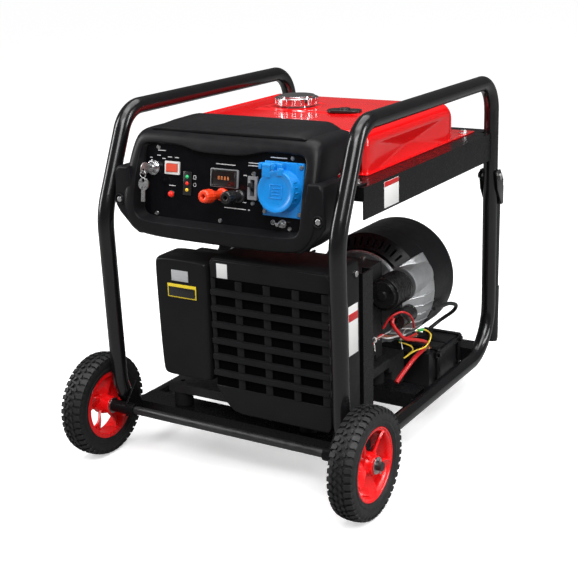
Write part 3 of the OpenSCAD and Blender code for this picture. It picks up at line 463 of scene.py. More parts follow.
def tread_block(shape, outline, base_drop):
    """One rubber block whose outline is (angle, x) points, standing on the carcass."""
    top = [ring_point(crown(x), a, x) for a, x in outline]
    base = [ring_point(crown(x) - base_drop, a, x) for a, x in outline]
    n = len(outline)
    shape.take(top + base, [list(range(n)), list(range(n, 2 * n))[::-1],
                            *[[k, n + k, n + (k + 1) % n, (k + 1) % n] for k in range(n)]])


def tyre(side):
    shape = Shape()
    half = [(61, 0), (61, 10), (66, 15), (66, 19.3), (68.5, 21.2), (71, 21.6), (72.2, 22.6), (75, 22.7), (76.2, 21.9),
            (80, 22.6), (84.5, 22.8), (88.5, 22.2), (92, 20.4), (94.6, 16), (95.6, 8), (95.8, 0)]
    loop = [(r, x) for r, x in half] + [(r, -x) for r, x in half[-2:0:-1]]
    shape.turned(loop, (WHEEL_X, AXLE_Y, AXLE_Z), (1, 0, 0), 96, closed=True)
    pitches = 44
    step = tau / pitches
    for k in range(pitches):
        a = k * step
        for s in (1, -1):
            shift = 0 if s > 0 else step / 2
            at = a + shift
            tread_block(shape, [(at, 9.5 * s), (at + step * 0.30, 12.5 * s), (at + step * 0.24, 19.5 * s),
                                (at + step * 0.36, 22.4 * s), (at - step * 0.3, 22.4 * s),
                                (at - step * 0.40, 19.5 * s), (at - step * 0.34, 12.0 * s)], 3.4)
            tread_block(shape, [(at + step * 0.14, 1.2 * s), (at + step * 0.52, 6.2 * s),
                                (at + step * 0.36, 8.4 * s), (at + step * 0.02, 7.2 * s),
                                (at - step * 0.22, 4.2 * s)], 3.2)
        for s in (1, -1):
            at = a + (0 if s > 0 else step / 2)
            low, high = 86.5, 92.5
            face = 23.0 * s
            corners = [(low, -0.20), (low, 0.22), (high, 0.30), (high, -0.26)]
            outer = [ring_point(r, at + step * t, face - (0.2 if r == low else 1.1) * s) for r, t in corners]
            inner = [ring_point(r, at + step * t, face - 4 * s) for r, t in corners]
            shape.take(outer + inner, [[0, 1, 2, 3], [7, 6, 5, 4], [0, 4, 5, 1], [1, 5, 6, 2], [2, 6, 7, 3],
                                       [3, 7, 4, 0]])
    return shape.done(f"{side}_tyre_tread", "tyre", f"{side}_wheel", [f"{side}_tyre"], "tyre", soften=0.5,
                      mirror=side == "left")


def blade(shape, start):
    """A broad twisted spoke from the hub to the rim."""
    stations = 7
    rings = []
    for i in range(stations):
        t = i / (stations - 1)
        radius = 17 + (59.5 - 17) * t
        middle = start + 0.16 * sin(pi * t) + 0.10 * t
        width = 24 + 49 * t
        pitch = radians(40 - 14 * t)
        thick = 2.2 - 0.4 * sin(pi * t)
        ring = []
        for u, v in ((-1, -1), (-0.5, -1.25), (0.5, -1.25), (1, -1), (1, 1), (0.5, 1.25), (-0.5, 1.25), (-1, 1)):
            across = u * width / 2 * cos(pitch) - v * thick * sin(pitch)
            out = u * width / 2 * sin(pitch) + v * thick * cos(pitch)
            ring.append(ring_point(radius, middle + across / radius, 2 + out))
        rings.append(ring)
    lofted(shape, rings, capped=True)


def rim(side):
    shape = Shape()
    centre = (WHEEL_X, AXLE_Y, AXLE_Z)
    barrel = [(56.5, -18), (57.5, -19.3), (65.2, -19.3), (66, -18.4), (66, -15), (61, -10), (61, 10), (66, 15),
              (66, 18.4), (65.2, 19.3), (63.2, 19.3), (62.4, 17.6), (59.2, 16.8), (57, 14), (56.2, 8), (56.2, -8)]
    shape.turned(barrel, centre, (1, 0, 0), 96, closed=True)
    hub = [(8.08, -24.5), (15.5, -24.5), (16.8, -23.4), (17.5, -10), (20.5, -4), (20.5, 8), (17.8, 12), (17.2, 19.4),
           (15.8, 21), (8.08, 21)]
    shape.turned(hub, centre, (1, 0, 0), 64, closed=True)
    for k in range(5):
        blade(shape, tau * k / 5 + 0.35)
    for k in range(5):
        a = tau * k / 5 + 0.95
        shape.rod(ring_point(18.5, a, -6), ring_point(18.5, a, 15), 2.6, steps=12)
    return shape.done(f"{side}_rim_spokes", "rim", f"{side}_wheel", [f"{side}_rim"], "red_plastic", soften=0.7,
                      mirror=side == "left")


for side in ("left", "right"):
    tyre(side)
    rim(side)

# ---------------------------------------------------------------- control fascia

FRONT_LINE = ((448, -308), (500, -308), (518, -306), (545, -300), (573, -290), (605, -276), (626, -267), (634, -261),
              (640, -250))


def front_y(z):
    """Front face of the bezel at a height."""
    if z <= FRONT_LINE[0][0]:
        return FRONT_LINE[0][1]
    for (z0, y0), (z1, y1) in zip(FRONT_LINE, FRONT_LINE[1:]):
        if z <= z1:
            return y0 + (y1 - y0) * (z - z0) / (z1 - z0)
    return FRONT_LINE[-1][1]


def panel_face(z):
    return PANEL_Y + (z - PANEL_Z) * sin(PANEL_TILT)


def mirrored(half):
    """Right half of an outline from top middle to bottom middle, completed on the left."""
    return half + [(-x, z) for x, z in half[-2:0:-1]]


RECESS_FLOOR = mirrored([(0, 600.5), (58, 600.5), (78, 610.5), (150, 610.5), (161, 607), (166, 598), (166, 573),
                         (166, 540), (166, 510), (166, 497), (161, 486), (146, 482), (0, 482)])
RECESS_LIP = mirrored([(0, 602.5), (57, 602.5), (77, 613.5), (152, 613.5), (165, 610), (170, 600), (171, 573),
                       (171.5, 540), (172, 510), (171, 497), (165, 483), (148, 477), (0, 477)])
BEZEL_CROWN = mirrored([(0, 619), (60, 619), (80, 622), (156, 622), (174, 618), (181, 604), (184, 573), (186, 540),
                        (188, 510), (186, 492), (173, 468), (152, 460), (0, 460)])
BEZEL_EDGE = mirrored([(0, 632), (60, 632), (80, 633), (162, 633), (181, 628), (189, 611), (192, 573), (194, 540),
                       (197, 510), (195, 489), (178, 461), (152, 450), (0, 450)])
BEZEL_SIDE = mirrored([(0, 637), (60, 637), (80, 637.5), (166, 637.5), (185, 631), (193.5, 613), (196, 573),
                       (198, 540), (201, 510), (199, 488), (180, 458), (153, 447), (0, 447)])


def bezel_rings():
    def ring(outline, depth):
        return [(x, depth(z), z) for x, z in outline]

    def back(z):
        return -140 if z > 590 else -226
    return [
        ring(RECESS_FLOOR, lambda z: panel_face(z) + 1.5),
        ring(RECESS_FLOOR, lambda z: panel_face(z) - 1.5),
        ring(RECESS_LIP, lambda z: front_y(z) + 3.2),
        ring(RECESS_LIP, lambda z: front_y(z) + 0.8),
        ring([(x * 1.012, z + (0.8 if z > 547 else -1.2)) for x, z in RECESS_LIP], lambda z: front_y(z) - 0.6),
        ring(BEZEL_CROWN, lambda z: front_y(z) - 0.9),
        ring(BEZEL_EDGE, lambda z: front_y(z) + 2.2),
        ring(BEZEL_SIDE, lambda z: front_y(z) + 11),
        ring(BEZEL_SIDE, lambda z: min(front_y(z) + 30, back(z))),
        ring(BEZEL_SIDE, back),
        ring([(x * 0.985, z - (2.5 if z > 547 else -2.5)) for x, z in BEZEL_SIDE], back),
    ]


def fascia():
    shape = Shape()
    lofted(shape, bezel_rings())
    shape.done("fascia_bezel", "shell", "frame", ["fascia"], "black_plastic", smooth=2, angle=60)
    ears = Shape()
    for s in (1, -1):
        outline = [(184, 571), (206, 571), (210.5, 567), (212, 560), (217, 512), (216, 500), (208, 487), (182, 461),
                   (168, 452), (160, 452)]
        ears.plate([(x * s, z) for x, z in outline], -302, -228, "xz", 4.5, 4)
        ears.block([186 * s if s > 0 else -238, -222, 555.3], [238 if s > 0 else -186, -194, 558.6], 0.8)
        ears.turned([(7.6, -0.5), (10.2, -0.5), (10.2, 2.4), (9.6, 3.2), (8.2, 3.2), (7.6, 2.4)],
                    (204.6 * s, -302.2, 511), (0, -1, 0), 28, closed=True)
    ears.done("fascia_ears", "shell", slot="black_plastic", soften=0.6)
    heads = Shape()
    for s in (1, -1):
        heads.hexagon((204.6 * s, -302.2, 511), (0, -1, 0), 10, 3.2)
    heads.done("fascia_ear_bolts", "zinc", slot="zinc", soften=0.5)
    hood = Shape()
    stations = [(-258, 0.97, 0.5), (-248, 0.985, 4.5), (-205, 1.0, 9.0), (-160, 1.0, 10.2), (-141, 0.99, 9.6)]
    rings = []
    for y, spread, rise in stations:
        half = [(0, rise), (58, rise), (100, rise), (137, rise * 0.96), (146, rise * 0.72), (156, rise * 0.18),
                (162, -1.5), (162, -4)]
        outline = [(x * spread, z) for x, z in half]
        outline = outline + [(-x, z) for x, z in outline[::-1][:-1]]
        rings.append([(x, y, 636.8 + z) for x, z in outline])
    lofted(hood, rings, capped=True)
    hood.done("fascia_hood_rise", "shell", slot="black_plastic", soften=1.8)
    seams = Shape()
    for s in (1, -1):
        seams.plate([(196.5 * s, -218), (197.4 * s, -218), (197.4 * s, -150), (196.5 * s, -150)], 574, 575.2, "xy")
    seams.done("fascia_side_seams", "black_gloss", slot="black_plastic")


PANEL_TURN = Matrix.Translation((0, PANEL_Y, PANEL_Z)) @ Matrix.Rotation(-PANEL_TILT, 4, "X")


def on_panel(shape, low, high, round_by=0.0, steps=2):
    """A rounded block given across, up and out of the panel."""
    shape.block([low[0], -high[2], low[1]], [high[0], -low[2], high[1]], round_by, steps, PANEL_TURN)


def panel_print():
    """Plain ruled marks beside the controls: frames, ticks and dashes, no lettering."""
    shape = Shape()

    def dash(x, up, wide, high=1.1):
        on_panel(shape, (x - wide / 2, up - high / 2, 0.02), (x + wide / 2, up + high / 2, 0.12))
    for x, up, wide in ((-131, 52, 17), (-137, 43, 8), (-154, 38, 6), (-126, 38, 7), (-113, 41.5, 9), (-98, 41.5, 9),
                        (-106, -8, 14), (5.5, 37.5, 40), (63, 44, 22), (63, 39.5, 24), (46, 22, 7), (46, -24, 8),
                        (111, 56.5, 32), (-28, -20.5, 8), (8, -36, 5), (30, -36, 40), (56, -36, 4)):
        on_panel(shape, (x - wide / 2, up - 0.75, 0.02), (x + wide / 2, up + 0.75, 0.1))
    for x in (-61, -56):
        dash(x, 10, 1.0, 6)
    dash(-58.5, 13, 6, 1.0)
    dash(-58.5, 7, 6, 1.0)
    shape.turned([(2.6, 0.02), (3.4, 0.02), (3.4, 0.12), (2.6, 0.12)], at_panel(-58, 0, -3), PANEL_OUT, 20,
                 closed=True)
    shape.turned([(3.4, 0.02), (4.2, 0.02), (4.2, 0.12), (3.4, 0.12)], at_panel(104.5, 0, -52), PANEL_OUT, 24,
                 closed=True)
    for k, wide in enumerate((5, 3.4, 1.8)):
        dash(104.5, -50.6 - 1.6 * k, wide, 0.7)
    shape.done("panel_marks", "print", slot="white_plastic")


def panel_controls():
    lamps = Shape()
    on_panel(lamps, (-82, -22.5, 0), (-64, 19.5, 2.2), 0.9)
    on_panel(lamps, (-80.5, -21, -10), (-65.5, 18, 0.5), 0.4)
    lamps.turned([(4.8, -12), (4.8, 0), (6.4, 0), (7, 0.6), (7, 1.6), (6.2, 2.2), (5.4, 2.2)],
                 at_panel(-106.5, 0, -23), PANEL_OUT, 32)
    lamps.done("lamp_holders", "black_gloss", "frame", ["indicator_lamps"], "black_plastic", soften=0.2)
    for name, up, paint in (("green", 10, "lamp_green"), ("red", -1.5, "lamp_red"), ("yellow", -13, "lamp_yellow")):
        dome = Shape()
        dome.turned([(0, 4.6), (1.6, 4.4), (2.8, 3.6), (3.3, 2.4), (3.3, 1.0), (0, 1.0)], at_panel(-73, 0, up),
                    PANEL_OUT, 24)
        dome.done(f"lamp_{name}", paint, "frame", slot="black_plastic")
    power = Shape()
    power.turned([(0, 7.4), (2.4, 7.1), (4.4, 5.8), (5.2, 3.8), (5.3, 1.8), (0, 1.8)],
                 at_panel(-106.5, 0, -23), PANEL_OUT, 32)
    power.done("lamp_power", "lamp_red", slot="black_plastic")
    meter = Shape()
    on_panel(meter, (-23, -2, 0), (34, 30, 4.4), 1.4)
    on_panel(meter, (-19.5, 1.5, -20), (30.5, 26.5, 1), 0.5)
    meter.done("meter_frame", "grey", "frame", ["digital_meter"], "grey_plastic")
    rim_inner = Shape()
    on_panel(rim_inner, (-18.5, 1.5, 4.2), (29.5, 26.5, 5.0), 0.35)
    rim_inner.done("meter_window", "smoked", slot="grey_plastic")
    ledge = Shape()
    for low, high in (((-20.5, 25.6), (31.5, 28.4)), ((-20.5, -0.4), (31.5, 2.2)), ((-20.5, 2.2), (-17.2, 25.6)),
                      ((28.2, 2.2), (31.5, 25.6))):
        on_panel(ledge, (*low, 4.2), (*high, 5.8), 0.4)
    ledge.done("meter_ledge", "black_gloss", slot="grey_plastic")
    digits = Shape()
    for k in range(4):
        x0 = -6.5 + 6.4 * k
        for a, b in (((0, 5), (3, 5.6)), ((0, 0), (3, 0.6)), ((0, 2.5), (3, 3.1)), ((0, 0.3), (0.6, 5.3)),
                     ((2.4, 0.3), (3, 5.3))):
            on_panel(digits, (x0 + a[0], 11.5 + a[1], 4.95), (x0 + b[0], 11.5 + b[1], 5.08))
    digits.done("meter_digits", "digits", slot="grey_plastic")
    rocker = Shape()
    side_view = [(-11, 6), (-6, 4.6), (0, 3.6), (6, 3.2), (11, 3), (9, -6), (0, -9.5), (-9, -6)]
    part = bmesh.new()
    verts = [part.verts.new((-106 + x, -y, 23 + w)) for w in (-7, 7) for x, y in side_view]
    n = len(side_view)
    part.faces.new(verts[:n])
    part.faces.new(verts[n:][::-1])
    for k in range(n):
        part.faces.new([verts[k], verts[(k + 1) % n], verts[n + (k + 1) % n], verts[n + k]][::-1])
    rocker.merge(part, PANEL_TURN)
    rocker.done("rocker_button", "lamp_rocker", "rocker", ["start_rocker"], "terminal_red", soften=0.7)


def terminal(name, x, length, paint, replaced, slot):
    """A capped output post: flange, round neck, fluted cap with a hole in its end."""
    up = -14
    shape = Shape()
    start = at_panel(x, 0, up)
    shape.turned([(0, -18), (6.2, -18), (6.2, 0), (11, 0), (11.4, 0.8), (11.2, 6.4), (10.2, 7.6), (8.4, 8), (7.8, 9),
                  (7.4, 14), (7.4, length - 27), (8.2, length - 26), (8.2, length - 24.5), (0, length - 24.5)],
                 start, PANEL_OUT, 32)
    flutes, r_out = 14, 11.6
    rings = []
    for level, grow in ((length - 25, 0.82), (length - 23.5, 0.97), (length - 21, 1.0), (length - 3, 0.94),
                        (length - 0.8, 0.86), (length, 0.74)):
        ring = []
        for k in range(flutes * 4):
            a = tau * k / (flutes * 4)
            r = r_out * grow * (1 + 0.045 * cos(flutes * a))
            ring.append(start + PANEL_OUT * level + Vector((1, 0, 0)) * r * cos(a) + PANEL_UP * r * sin(a))
        rings.append(ring)
    for r, level in ((4.6, length), (4.0, length - 0.6), (4.0, length - 12)):
        rings.append([start + PANEL_OUT * level + Vector((1, 0, 0)) * r * cos(tau * k / (flutes * 4))
                      + PANEL_UP * r * sin(tau * k / (flutes * 4)) for k in range(flutes * 4)])
    lofted(shape, rings)
    shape.done(name, paint, "frame", [replaced], slot, soften=0.0, angle=50)


def socket():
    cx, cw = 125, 5
    base = Shape()
    on_panel(base, (cx - 38.5, cw - 46, 0), (cx + 38.5, cw + 46, 5.6), 1.8, 3)
    centre = at_panel(cx, 0, cw - 2)
    base.turned([(28, -16), (28, 25), (31.5, 25), (33.2, 24.2), (33.6, 16), (35.2, 9), (36.2, 5.4), (36.2, 2),
                 (30, 2),
                 (30, -36), (0, -36), (0, -16)], centre, PANEL_OUT, 72)
    for k in range(24):
        a = tau * k / 24
        if 0.6 < a < 2.5:
            continue
        part_at = centre + Vector((1, 0, 0)) * 33.6 * cos(a) + PANEL_UP * 33.6 * sin(a)
        base.rod(part_at + PANEL_OUT * 5, part_at + PANEL_OUT * 22, 1.25, 0.4, 10)
    on_panel(base, (cx - 34, cw + 30, 4), (cx + 4, cw + 44, 20), 2.2, 3)
    for x in (cx - 34, cx - 10.4):
        on_panel(base, (x, cw + 33, 17), (x + 5.4, cw + 44, 32), 1.6, 3)
    base.rod(at_panel(cx - 35, 27, cw + 39), at_panel(cx - 4, 27, cw + 39), 2.2, 0.4, 16)
    for k in range(3):
        a = -pi / 2 + tau * k / 3
        pin = centre + Vector((1, 0, 0)) * 17 * cos(a) + PANEL_UP * 17 * sin(a)
        base.rod(pin - PANEL_OUT * 18, pin + PANEL_OUT * 14, 4 if k == 0 else 3, 0.8, 20)
    base.done("socket_housing", "blue", "frame", ["socket_base"], "blue_plastic", soften=0.35)
    lid = Shape()
    lid.turned([(0, 28.6), (22, 28.8), (27.5, 29.4), (29.5, 30.6), (33.6, 30.8), (35, 30), (35.2, 26.4), (34, 25.4),
                (0, 25.4)], centre, PANEL_OUT, 72)
    on_panel(lid, (cx - 27.5, cw + 20, 25.5), (cx - 11.5, cw + 42, 31), 1.2, 3)
    lid.rod(at_panel(cx - 27.5, 27, cw + 39), at_panel(cx - 11.5, 27, cw + 39), 4.6, 0.8, 24)
    on_panel(lid, (cx + 2, cw + 24, 25.5), (cx + 13, cw + 37, 32), 1.8, 3)
    for low, high in (((-12, -12), (12, -10.4)), ((-12, 10.4), (12, 12)), ((-12, -12), (-10.4, 12)),
                      ((10.4, -12), (12, 12))):
        on_panel(lid, (cx + low[0], cw - 2 + low[1], 28.2), (cx + high[0], cw - 2 + high[1], 29.6), 0.4)
    for k in (-5, 0, 5):
        on_panel(lid, (cx - 8, cw - 2 + k - 0.7, 28.2), (cx + 8, cw - 2 + k + 0.7, 29.5), 0.4)
    for k in range(4):
        a = radians(-150 + 20 * k)
        tab = centre + Vector((1, 0, 0)) * 34.4 * cos(a) + PANEL_UP * 34.4 * sin(a)
        lid.rod(tab + PANEL_OUT * 26, tab + PANEL_OUT * 30.4, 1.4, 0.3, 10)
    lid.done("socket_flap", "blue", "lid", ["socket_lid"], "blue_plastic", soften=0.3)


fascia()
panel_print()
panel_controls()
terminal("output_post_red", 3, 62, "orange", "red_terminal", "terminal_red")
terminal("output_post_black", 38, 48, "black_gloss", "black_terminal", "terminal_black")
socket()

# ---------------------------------------------------------------- front covers


def front_cover():
    shape = Shape()
    outline = [(-25, 414), (-20, 421), (-12, 422), (206, 422), (215, 418), (218, 408), (218, 148), (214, 138),
               (204, 134),
               (32, 134), (14, 138), (0, 150), (-16, 176), (-19, 192)]
    cx, cz = 96, 278

    def grown(k, y):
        return [(cx + (x - cx) * k, y, cz + (z - cz) * k) for x, z in outline]
    rings = [grown(0.95, -291), grown(0.975, -291.4), grown(0.992, -290.6), grown(1.0, -287.5),
             grown(1.0, -196), grown(1.0, -190), grown(0.985, -190)]
    lofted(shape, rings)
    shape.done("front_cover_shell", "cover", "frame", ["front_cover"], "black_sheet", soften=0.8, angle=45)
    pitch, top = 30.2, 366
    ribs, web, plain, dark = Shape(), Shape(), Shape(), Shape()
    for i in range(7):
        z = top - pitch * i
        left = -21 if z > 195 else -8 + (195 - z) * 0.35
        if i < 6:
            ribs.plate([(-297.5, z - 1.6), (-297.5, z - 10), (-291, z - 13.5), (-287, z - 13.5), (-287, z + 1.5),
                        (-291, z + 1.5)], left, 217, "yz", 1.2, 3)
        for k in range(5):
            x = -21 + 57.5 * k
            x0, x1 = (x - 2, x + 9) if k == 0 else (x - 7, x + 7)
            if x1 > left:
                web.block([max(x0, left), -294.0, z], [min(x1, 217), -288, z + 18.5], 0.5)
    plain.plate([(-22, 386), (217, 386), (217, 408), (211, 418), (-14, 418), (-22, 410)], -292.6, -288, "xz", 1.2, 3)
    plain.plate([(-20, 184.5), (217, 184.5), (217, 146), (211, 137), (34, 137), (16, 141), (1, 154), (-14, 176)],
                -293.4, -288, "xz", 1.2, 3)
    ribs.done("front_cover_ribs", "cover", slot="black_sheet", angle=50)
    web.done("front_cover_webs", "cover", slot="black_sheet")
    plain.done("front_cover_plain_bands", "cover", slot="black_sheet", angle=50)
    # A near-black sheet just behind the grille slots: painted shade for the dark inside of the cover
    dark.block([-18, -292.0, 182], [214, -291.2, 388], 0.2)
    dark.done("front_cover_painted_shade_sheet", "painted_shade", slot="black_sheet")
    label = Shape()
    label.block([-8, -293.3, 387], [14, -292.4, 413], 0.2)
    label.block([218.1, -230, 256], [218.7, -196, 346], 0.1)
    label.block([246.1, -148, 504], [246.7, -92, 550], 0.1)
    label.done("front_cover_label", "paper", slot="white_plastic")
    strip = Shape()
    strip.block([218.2, -229.5, 318], [218.9, -196.5, 332], 0.1)
    strip.block([246.2, -147.5, 541], [246.9, -92.5, 549.5], 0.1)
    strip.done("front_cover_label_strip", "red_cable", slot="white_plastic")


def air_cleaner():
    shape = Shape()
    outline = [(-144, 402), (-141, 409), (-133, 413), (-38, 413), (-30, 409), (-27, 402), (-27, 196), (-30, 188),
               (-38, 185), (-124, 185), (-133, 188), (-138, 197)]
    cx, cz = -84.5, 299

    def grown(k, y, m=None):
        m = m or k
        return [(cx + (x - cx) * k, y, cz + (z - cz) * m) for x, z in outline]
    rings = [grown(0.02, -296.4), grown(0.86, -296.8, 0.93), grown(0.93, -296.2, 0.965), grown(0.965, -293.5, 0.98),
             grown(0.99, -288.5, 0.994), grown(1.0, -282), grown(1.0, -240), grown(1.0, -229), grown(0.97, -228)]
    lofted(shape, rings)
    shape.take(rings[0], [list(range(len(outline)))])
    shape.done("air_cleaner_shell", "cover", "frame", ["air_cleaner_cover"], "black_plastic", smooth=2, angle=60)
    label, band, inner = Shape(), Shape(), Shape()
    label.block([-103, -298.3, 371], [-67, -296.9, 391], 0.3)
    label.done("air_cleaner_plate", "silver_label", slot="zinc")
    band.block([-113, -298.1, 340], [-51, -296.9, 365], 0.2)
    band.done("air_cleaner_band", "yellow_label", slot="white_plastic")
    inner.block([-111, -298.4, 342], [-53, -297.2, 359.5], 0.2)
    inner.done("air_cleaner_band_field", "black_gloss", slot="black_plastic")


front_cover()
air_cleaner()

# ---------------------------------------------------------------- tank


def fuel_tank():
    """A pressed tank: crowned top, rounded shoulders, pressed creases and a rolled flange."""
    half_w, front, rear, low, top = 205, -134, 252, 557.5, TANK_TOP
    columns, rows = 150, 110
    grid = []
    for j in range(rows + 1):
        v = j / rows
        line = []
        for i in range(columns + 1):
            line.append(tank_point(i / columns, v, half_w, front, rear, low, top))
        grid.append(line)
    shape = Shape()
    points = [p for line in grid for p in line]
    w = columns + 1
    shape.take(points, [[j * w + i, j * w + i + 1, (j + 1) * w + i + 1, (j + 1) * w + i]
                        for j in range(rows) for i in range(columns)])
    shape.block([-209, -140, 555], [209, 340, 558], 1.2)
    shape.block([-172, -170, 555], [172, -130, 558], 1.2)
    shape.done("tank_shell", "red", "frame", ["fuel_tank"], "red_paint", angle=40)


def eased(t):
    t = min(max(t, 0), 1)
    return t * t * (3 - 2 * t)


def crease(distance, width):
    """Smooth groove profile: 1 at its middle, 0 beyond its width."""
    return 1 - eased(abs(distance) / width)


def tank_point(u, v, half_w, front, rear, low, top):
    """Point on the tank's skin: u runs over the top from the left foot to the right, v from front to rear."""
    shoulder = 26
    height = top - low
    flat = half_w - shoulder
    arc = shoulder * pi / 2
    total = 2 * (height - shoulder) + 2 * arc + 2 * flat
    s = u * total
    if s < height - shoulder:
        x, z, face = -half_w, low + s, "side"
    elif s < height - shoulder + arc:
        a = (s - (height - shoulder)) / shoulder
        x, z, face = -flat - shoulder * cos(a), top - shoulder + shoulder * sin(a), "turn"
    elif s < height - shoulder + arc + 2 * flat:
        x, z, face = -flat + (s - (height - shoulder) - arc), top, "top"
    elif s < height - shoulder + 2 * arc + 2 * flat:
        a = (s - (height - shoulder) - arc - 2 * flat) / shoulder
        x, z, face = flat + shoulder * sin(a), top - shoulder + shoulder * cos(a), "turn"
    else:
        x, z, face = half_w, top - shoulder - (s - (height - shoulder) - 2 * arc - 2 * flat), "side"
    y = front + (rear - front) * v
    ends = 34
    fall = 0
    if y > rear - ends:
        t = (y - (rear - ends)) / ends
        fall = ends * (1 - sqrt(max(0, 1 - t * t)))
    elif y < front + 16:
        t = (front + 16 - y) / 16
        fall = 16 * (1 - sqrt(max(0, 1 - t * t)))
    middle_z = low
    z = max(low, z - fall * (z - middle_z) / (top - middle_z) * 1.9) if fall else z
    x -= (fall * 0.55) * (1 if x > 0 else -1) * min(1, abs(x) / half_w)
    if face == "top":
        ring = sqrt((x + 60) ** 2 + (y - 82) ** 2)
        z -= 1.2 * crease(ring - 52, 5)
        inset = max(abs(x - 10) - 128, abs(y - 92) - 62)
        z += 1.8 * eased((6 - inset) / 8) - 1.8
    if face == "side":
        along = (y - front) / (rear - front)
        across = (z - low) / (top - shoulder - low)
        pressed = 1 - max(abs(along - 0.48) / 0.4, abs(across - 0.5) / 0.52)
        x -= (1 if x > 0 else -1) * 9 * max(0, pressed)
    return (x, y, z)


fuel_tank()

# ---------------------------------------------------------------- wiring and battery leads

RED_CABLE = [(200, 132, 154), (203, 118, 158), (206, 95, 158), (205, 70, 154), (203, 48, 146), (199, 26, 134),
             (194, 6, 120)]
RED_LEAD = [(197, -14, 258), (199, -21, 250), (207, -17, 234), (212, 4, 214), (213, 46, 198), (213, 82, 184),
            (210, 112, 170), (203, 128, 158)]
BLACK_LEAD = [(160, 234, 154), (174, 254, 168), (200, 262, 190), (216, 240, 212), (217, 205, 226), (217, 168, 232),
              (215, 132, 236)]
MAIN_LOOM = [(172, -118, 168), (173, -96, 196), (177, -70, 220), (184, -46, 230), (191, -24, 222), (198, 6, 214),
             (204, 40, 206), (206, 70, 200)]
SIDE_LOOM = [(186, -34, 242), (197, -28, 262), (212, -14, 272), (219, 8, 262), (219, 26, 244), (214, 42, 224)]
YELLOW_A = [(196, 12, 202), (206, 22, 196), (212, 34, 188), (212, 40, 178), (206, 36, 170), (200, 26, 164)]
YELLOW_B = [(200, 30, 164), (208, 58, 170), (219, 86, 172), (220, 108, 188), (211, 98, 202), (202, 80, 204)]


def wound(route, turn, out):
    """One strand of a bundle, wound round its route."""
    line = smooth_line([Vector(p) for p in route], 4)
    return [p + Vector((cos(turn + 0.45 * i), 0, sin(turn + 0.45 * i))) * out for i, p in enumerate(line)]


def wiring():
    leads = Shape()
    leads.hose(RED_CABLE, 4.6, 16)
    leads.hose(RED_LEAD, 3.6, 14)
    leads.done("battery_leads_red", "red_cable", "frame", ["battery_cables"], "cable_red", angle=60)
    earth = Shape()
    earth.hose(BLACK_LEAD, 3.7, 14, ribs=1, rib_depth=0.5)
    earth.done("battery_lead_black", "black_cable", slot="cable_red", angle=60)
    lugs = Shape()
    lugs.rod((203, 124, 158), (206, 104, 158), 5.2, 0.5, 18)
    lugs.turned([(4, 0), (9, 0), (9, 1.8), (4, 1.8)], (200, 134, 151.2), (0, 0, 1), 28, closed=True)
    lugs.hexagon((200, 134, 150.2), (0, 0, 1), 10, 5)
    lugs.done("battery_lugs", "copper", slot="cable_red", soften=0.3)
    for k, (paint, name) in enumerate((("brown_cable", "loom_brown"), ("red_cable", "loom_red"),
                                       ("black_cable", "loom_black"), ("white_cable", "loom_white"))):
        strand = Shape()
        strand.hose(wound(MAIN_LOOM, tau * k / 4, 2.7), 1.7, 10)
        if paint == "red_cable":
            strand.hose(SIDE_LOOM, 2.1, 10)
        strand.done(name, paint, "frame", () if k else ["wiring_harness"], "cable_mix", angle=60)
    yellow = Shape()
    yellow.hose(YELLOW_A, 1.5, 10)
    yellow.hose(YELLOW_B, 1.5, 10)
    yellow.done("loom_yellow", "yellow_cable", slot="cable_mix", angle=60)
    green = Shape()
    green.rod((198, 8, 209), (203, 34, 203), 3.6, 1, 14)
    green.rod((209, 99, 202), (203, 82, 204), 3.2, 1, 14)
    green.rod((173, -108, 180), (174, -88, 203), 5.6, 1, 14)
    green.done("loom_green_sleeves", "green_cable", slot="cable_mix", soften=0.3)
    ties = Shape()
    for at, ends in (((180, -60, 226), ((200, -78, 236), (194, -84, 214), (210, -50, 246))),
                     ((200, 10, 213), ((214, -8, 196), (216, 2, 234)))):
        ties.turned([(4.6, -1.4), (5.8, -1.4), (5.8, 1.4), (4.6, 1.4)], at, (0.3, 0.9, -0.2), 24, closed=True)
        for end in ends:
            ties.rod(at, end, 0.75, 0.2, 8)
    ties.done("loom_zip_ties", "white_cable", slot="cable_mix")


wiring()

# ---------------------------------------------------------------- alternator end details


def at_crank(r, degrees, y):
    """Point at a radius and angle about the crankshaft."""
    a = radians(degrees)
    return (CRANK_X + r * cos(a), y, CRANK_Z + r * sin(a))


